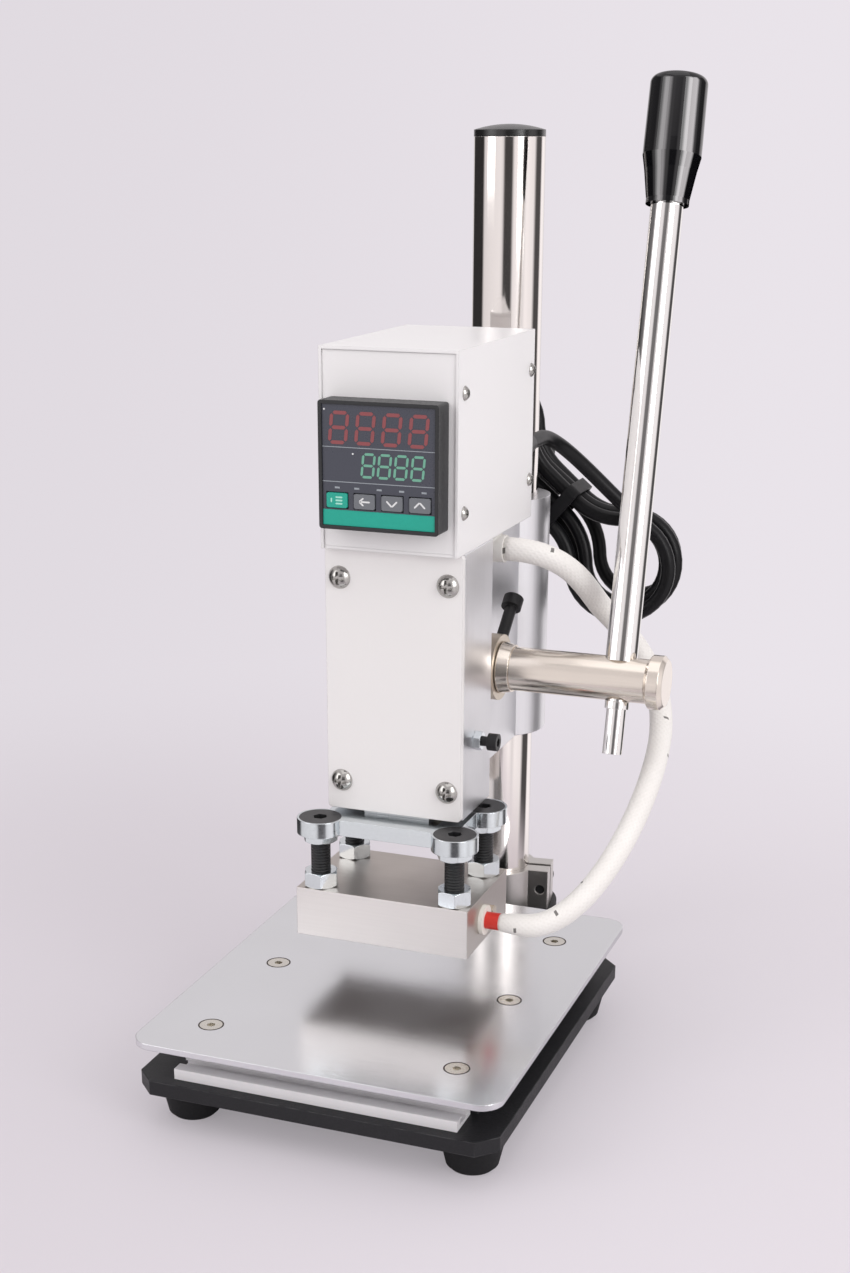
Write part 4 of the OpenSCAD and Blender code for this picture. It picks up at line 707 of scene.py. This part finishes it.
add_mesh("facia_lines", marks([*RULES, *TICKS]), plain("print_grey", (0.30, 0.33, 0.36)), "head")


def facia_dots(bm):
    for x, z in DOTS:
        disc(bm, x, z, DOT_R)


add_mesh("facia_dots", facia_dots, plain("print_white", (0.75, 0.76, 0.76)), "head")
add_mesh("facia_band", marks([BAND]),
         plain("band_green", (0.006, 0.36, 0.265), rough=0.5), "head")


def stroke(bm, points, half, y):
    for (ax, az), (bx, bz) in zip(points, points[1:]):
        slab(bm, [(x * MM, z * MM) for x, z in segment(ax, az, bx, bz, half)], y, PRINT_T)


def key_sign(name, node_name, body, lines, material):
    low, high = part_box(node_name)
    mid = (low + high) / 2 / MM

    def build(bm):
        for line in lines:
            stroke(bm, [(mid.x + x, mid.z + z) for x, z in line], SIGN_HALF, low.y)
    add_mesh(name, build, material, body)


# The keys' signs as lines from their middle: a list, an arrow and two chevrons
LIST_SIGN = [[(-2.2, 0.9), (-2.2, -0.9)], *[[(-0.6, z), (2.4, z)] for z in (1.2, 0, -1.2)]]
ARROW_SIGN = [[(-0.2, 1.5), (-2.0, 0), (-0.2, -1.5)], [(-1.8, 0), (2.4, 0)]]
DOWN_SIGN = [[(-2.2, 1.0), (0, -1.2), (2.2, 1.0)]]
UP_SIGN = [[(-2.2, -1.0), (0, 1.2), (2.2, -1.0)]]
SIGN_WHITE = plain("sign_white", (0.72, 0.73, 0.73))
key_sign("set_sign", "set_key", "set_button", LIST_SIGN, plain("sign_mint", (0.35, 0.72, 0.60)))
key_sign("shift_sign", "shift_key", "shift_button", ARROW_SIGN, SIGN_WHITE)
key_sign("down_sign", "down_key", "down_button", DOWN_SIGN, SIGN_WHITE)
key_sign("up_sign", "up_key", "up_button", UP_SIGN, SIGN_WHITE)

# Stage and light

BACKDROP_LEFT = (0.750, 0.706, 0.752)
BACKDROP_RIGHT = (0.818, 0.774, 0.822)
LIGHT_TINT = (1.0, 0.955, 0.975)
# What polished metal sees around the machine: (turn from -X, brightness) of soft panels and dark gaps
PANELS = [(0.000, 0.03), (0.045, 0.03), (0.068, 0.80), (0.225, 0.95), (0.245, 0.80), (0.262, 0.06),
          (0.325, 0.06), (0.345, 0.90), (0.400, 1.10), (0.440, 0.82), (0.470, 1.05), (0.545, 0.95),
          (0.575, 0.08), (0.640, 0.08), (0.662, 1.10), (0.720, 1.05), (0.760, 0.74), (0.865, 0.74),
          (0.890, 0.03)]
PANEL_CENTRE = (0.02, 0.09, 0.0)
# Two soft boxes, seen in mirror-smooth finishes alone, as (turn from -X, share of SOFT_BOX_GAIN)
SOFT_BOXES = [(0.00, 0.0), (0.10, 0.0), (0.13, 0.5), (0.19, 0.5), (0.22, 0.0), (0.39, 0.0), (0.42, 1.0),
              (0.51, 1.0), (0.54, 0.0)]
SOFT_BOX_GAIN = 9.0
SOFT_BOX_TOP = (0.60, 0.45)
# Sideways span of the backdrop's change of tone, and heights at which the dark gaps turn grey and fade out
TONE_SPAN = (-0.56, -0.14)
GAP_GREYS, GREY_SHARE = (0.06, 0.20), 0.17
GAP_FADES, CEILING = (0.42, 0.55), 0.80
WORLD_LIGHT = 0.82
# The floor: its share of the backdrop's tone, its glow to scattered light, and the distances at which it
# takes on the backdrop's tone, to the eye and in reflections
FLOOR_SHARE, FLOOR_GLOW, FLOOR_ROUGH, FLOOR_SPEC = 0.84, 0.70, 0.6, 0.2
FLOOR_FADE, FLOOR_NEAR, MIRROR_FADE = (0.20, 0.65), 0.35, (0.14, 0.32)
FLOOR_RADIUS, FLOOR_SIDES = 30, 96
MIDDLE = (0, 0.03, 0.18)
# Lamps aimed at the machine's middle: name, place, size and power
LAMPS = [("top_panel", (0.1, -0.1, 1.5), (1.3, 1.3), 3.0),
         ("left_panel", (-1.1, -1.1, 0.9), (0.9, 1.3), 6.0),
         ("right_panel", (1.3, -0.7, 0.8), (0.7, 1.2), 9.0)]


def tinted(value):
    return rgba([value * part for part in LIGHT_TINT])


def surround(tree, vector, panels=PANELS):
    """Brightness of the studio by compass direction."""
    part = node(tree, "SeparateXYZ", {0: vector})
    turn = math_node(tree, "ARCTAN2", part.outputs["Y"], part.outputs["X"])
    share = math_node(tree, "ADD", math_node(tree, "DIVIDE", turn, 2 * math.pi), 0.5)
    ramp = node(tree, "ValToRGB", {0: share})
    stops = ramp.color_ramp.elements
    while len(stops) < len(panels):
        stops.new(0.5)
    for stop, (at, value) in zip(stops, panels):
        stop.position = at
        stop.color = (*[value * part for part in LIGHT_TINT], 1)
    return ramp.outputs[0]


def backdrop(tree, direction):
    """Tone of the paper backdrop, a little brighter towards the right."""
    x = node(tree, "SeparateXYZ", {0: direction}).outputs["X"]
    return mix(tree, remap(tree, x, *TONE_SPAN), rgba(BACKDROP_LEFT), rgba(BACKDROP_RIGHT))


def add_world():
    world = bpy.data.worlds.new("studio")
    scene.world = world
    world.use_nodes = True
    tree = world.node_tree
    tree.nodes.clear()
    direction = node(tree, "TexCoord").outputs["Generated"]
    height = node(tree, "SeparateXYZ", {0: direction}).outputs["Z"]
    # Higher up the dark gaps first turn grey, then fade out, so a level plate is never all black
    fade = math_node(tree, "ADD", remap(tree, height, *GAP_GREYS, 0.0, GREY_SHARE),
                     remap(tree, height, *GAP_FADES, 0.0, 1 - GREY_SHARE))
    lit = mix(tree, fade, surround(tree, direction), tinted(CEILING))
    rays = node(tree, "LightPath")
    mirrored = math_node(tree, "MULTIPLY", remap(tree, height, *SOFT_BOX_TOP),
                         rays.outputs["Is Singular Ray"])
    boxes = mix(tree, mirrored, tinted(0.0), surround(tree, direction, SOFT_BOXES))
    seen = node(tree, "Background", {0: backdrop(tree, direction), 1: 1.0})
    light = node(tree, "Background", {0: tinted(1.0), 1: WORLD_LIGHT})
    walls = node(tree, "Background", {0: lit, 1: 1.0})
    lamps = node(tree, "Background", {0: boxes, 1: SOFT_BOX_GAIN})
    shiny = node(tree, "AddShader", {0: walls.outputs[0], 1: lamps.outputs[0]})
    other = node(tree, "MixShader", {0: rays.outputs["Is Glossy Ray"], 1: light.outputs[0],
                                     2: shiny.outputs[0]})
    both = node(tree, "MixShader", {0: rays.outputs["Is Camera Ray"], 1: other.outputs[0],
                                    2: seen.outputs[0]})
    out = node(tree, "OutputWorld")
    tree.links.new(both.outputs[0], out.inputs[0])


def floor_material():
    """A floor that takes a shadow near the machine and passes into the backdrop further off."""
    m, tree, p = shader("studio_floor")
    at = node(tree, "TexCoord").outputs["Object"]
    offset = node(tree, "VectorMath", {0: at, 1: CAMERA_AT}, operation="SUBTRACT").outputs[0]
    tone = backdrop(tree, node(tree, "VectorMath", {0: offset}, operation="NORMALIZE").outputs[0])
    near = node(tree, "VectorMath", {0: tone, 1: 3 * (FLOOR_SHARE,)}, operation="MULTIPLY").outputs[0]
    tree.links.new(near, p.inputs["Base Color"])
    p.inputs["Roughness"].default_value = FLOOR_ROUGH
    p.inputs["Specular IOR Level"].default_value = FLOOR_SPEC
    rays = node(tree, "LightPath")
    flat = node(tree, "VectorMath", {0: at, 1: (1.0, 1.0, 0.0)}, operation="MULTIPLY").outputs[0]
    far = node(tree, "VectorMath", {0: flat}, operation="LENGTH").outputs["Value"]
    glossy = rays.outputs["Is Glossy Ray"]
    around = node(tree, "VectorMath", {0: at, 1: PANEL_CENTRE}, operation="SUBTRACT").outputs[0]
    mirrored = rays.outputs["Is Singular Ray"]
    thrown = mix(tree, glossy, tinted(FLOOR_GLOW), surround(tree, around))
    thrown = mix(tree, mirrored, thrown, surround(tree, around, SOFT_BOXES))
    glow = mix(tree, rays.outputs["Is Camera Ray"], thrown, tone)
    gain = math_node(tree, "ADD", math_node(tree, "MULTIPLY", mirrored, SOFT_BOX_GAIN - 1), 1.0)
    away = node(tree, "Emission", {0: glow, 1: gain})
    share = node(tree, "Mix", {0: glossy, 2: remap(tree, far, *FLOOR_FADE, FLOOR_NEAR, 1.0),
                               3: remap(tree, far, *MIRROR_FADE)}).outputs[0]
    both = node(tree, "MixShader", {0: share, 1: p.outputs[0], 2: away.outputs[0]})
    out = next(n for n in tree.nodes if n.type == "OUTPUT_MATERIAL")
    tree.links.new(both.outputs[0], out.inputs[0])
    return m


def add_floor():
    def build(bm):
        bmesh.ops.create_circle(bm, cap_ends=True, segments=FLOOR_SIDES, radius=FLOOR_RADIUS)
    add_mesh("studio_floor", build, floor_material())


def add_lamp(name, at, size, power):
    data = bpy.data.lights.new(name, "AREA")
    data.shape = "RECTANGLE"
    data.size, data.size_y = size
    data.energy = power
    obj = bpy.data.objects.new(name, data)
    aim = Vector(MIDDLE) - Vector(at)
    obj.matrix_world = Matrix.Translation(at) @ aim.to_track_quat("-Z", "Y").to_matrix().to_4x4()
    scene.collection.objects.link(obj)


add_world()
add_floor()
for lamp in LAMPS:
    add_lamp(*lamp)
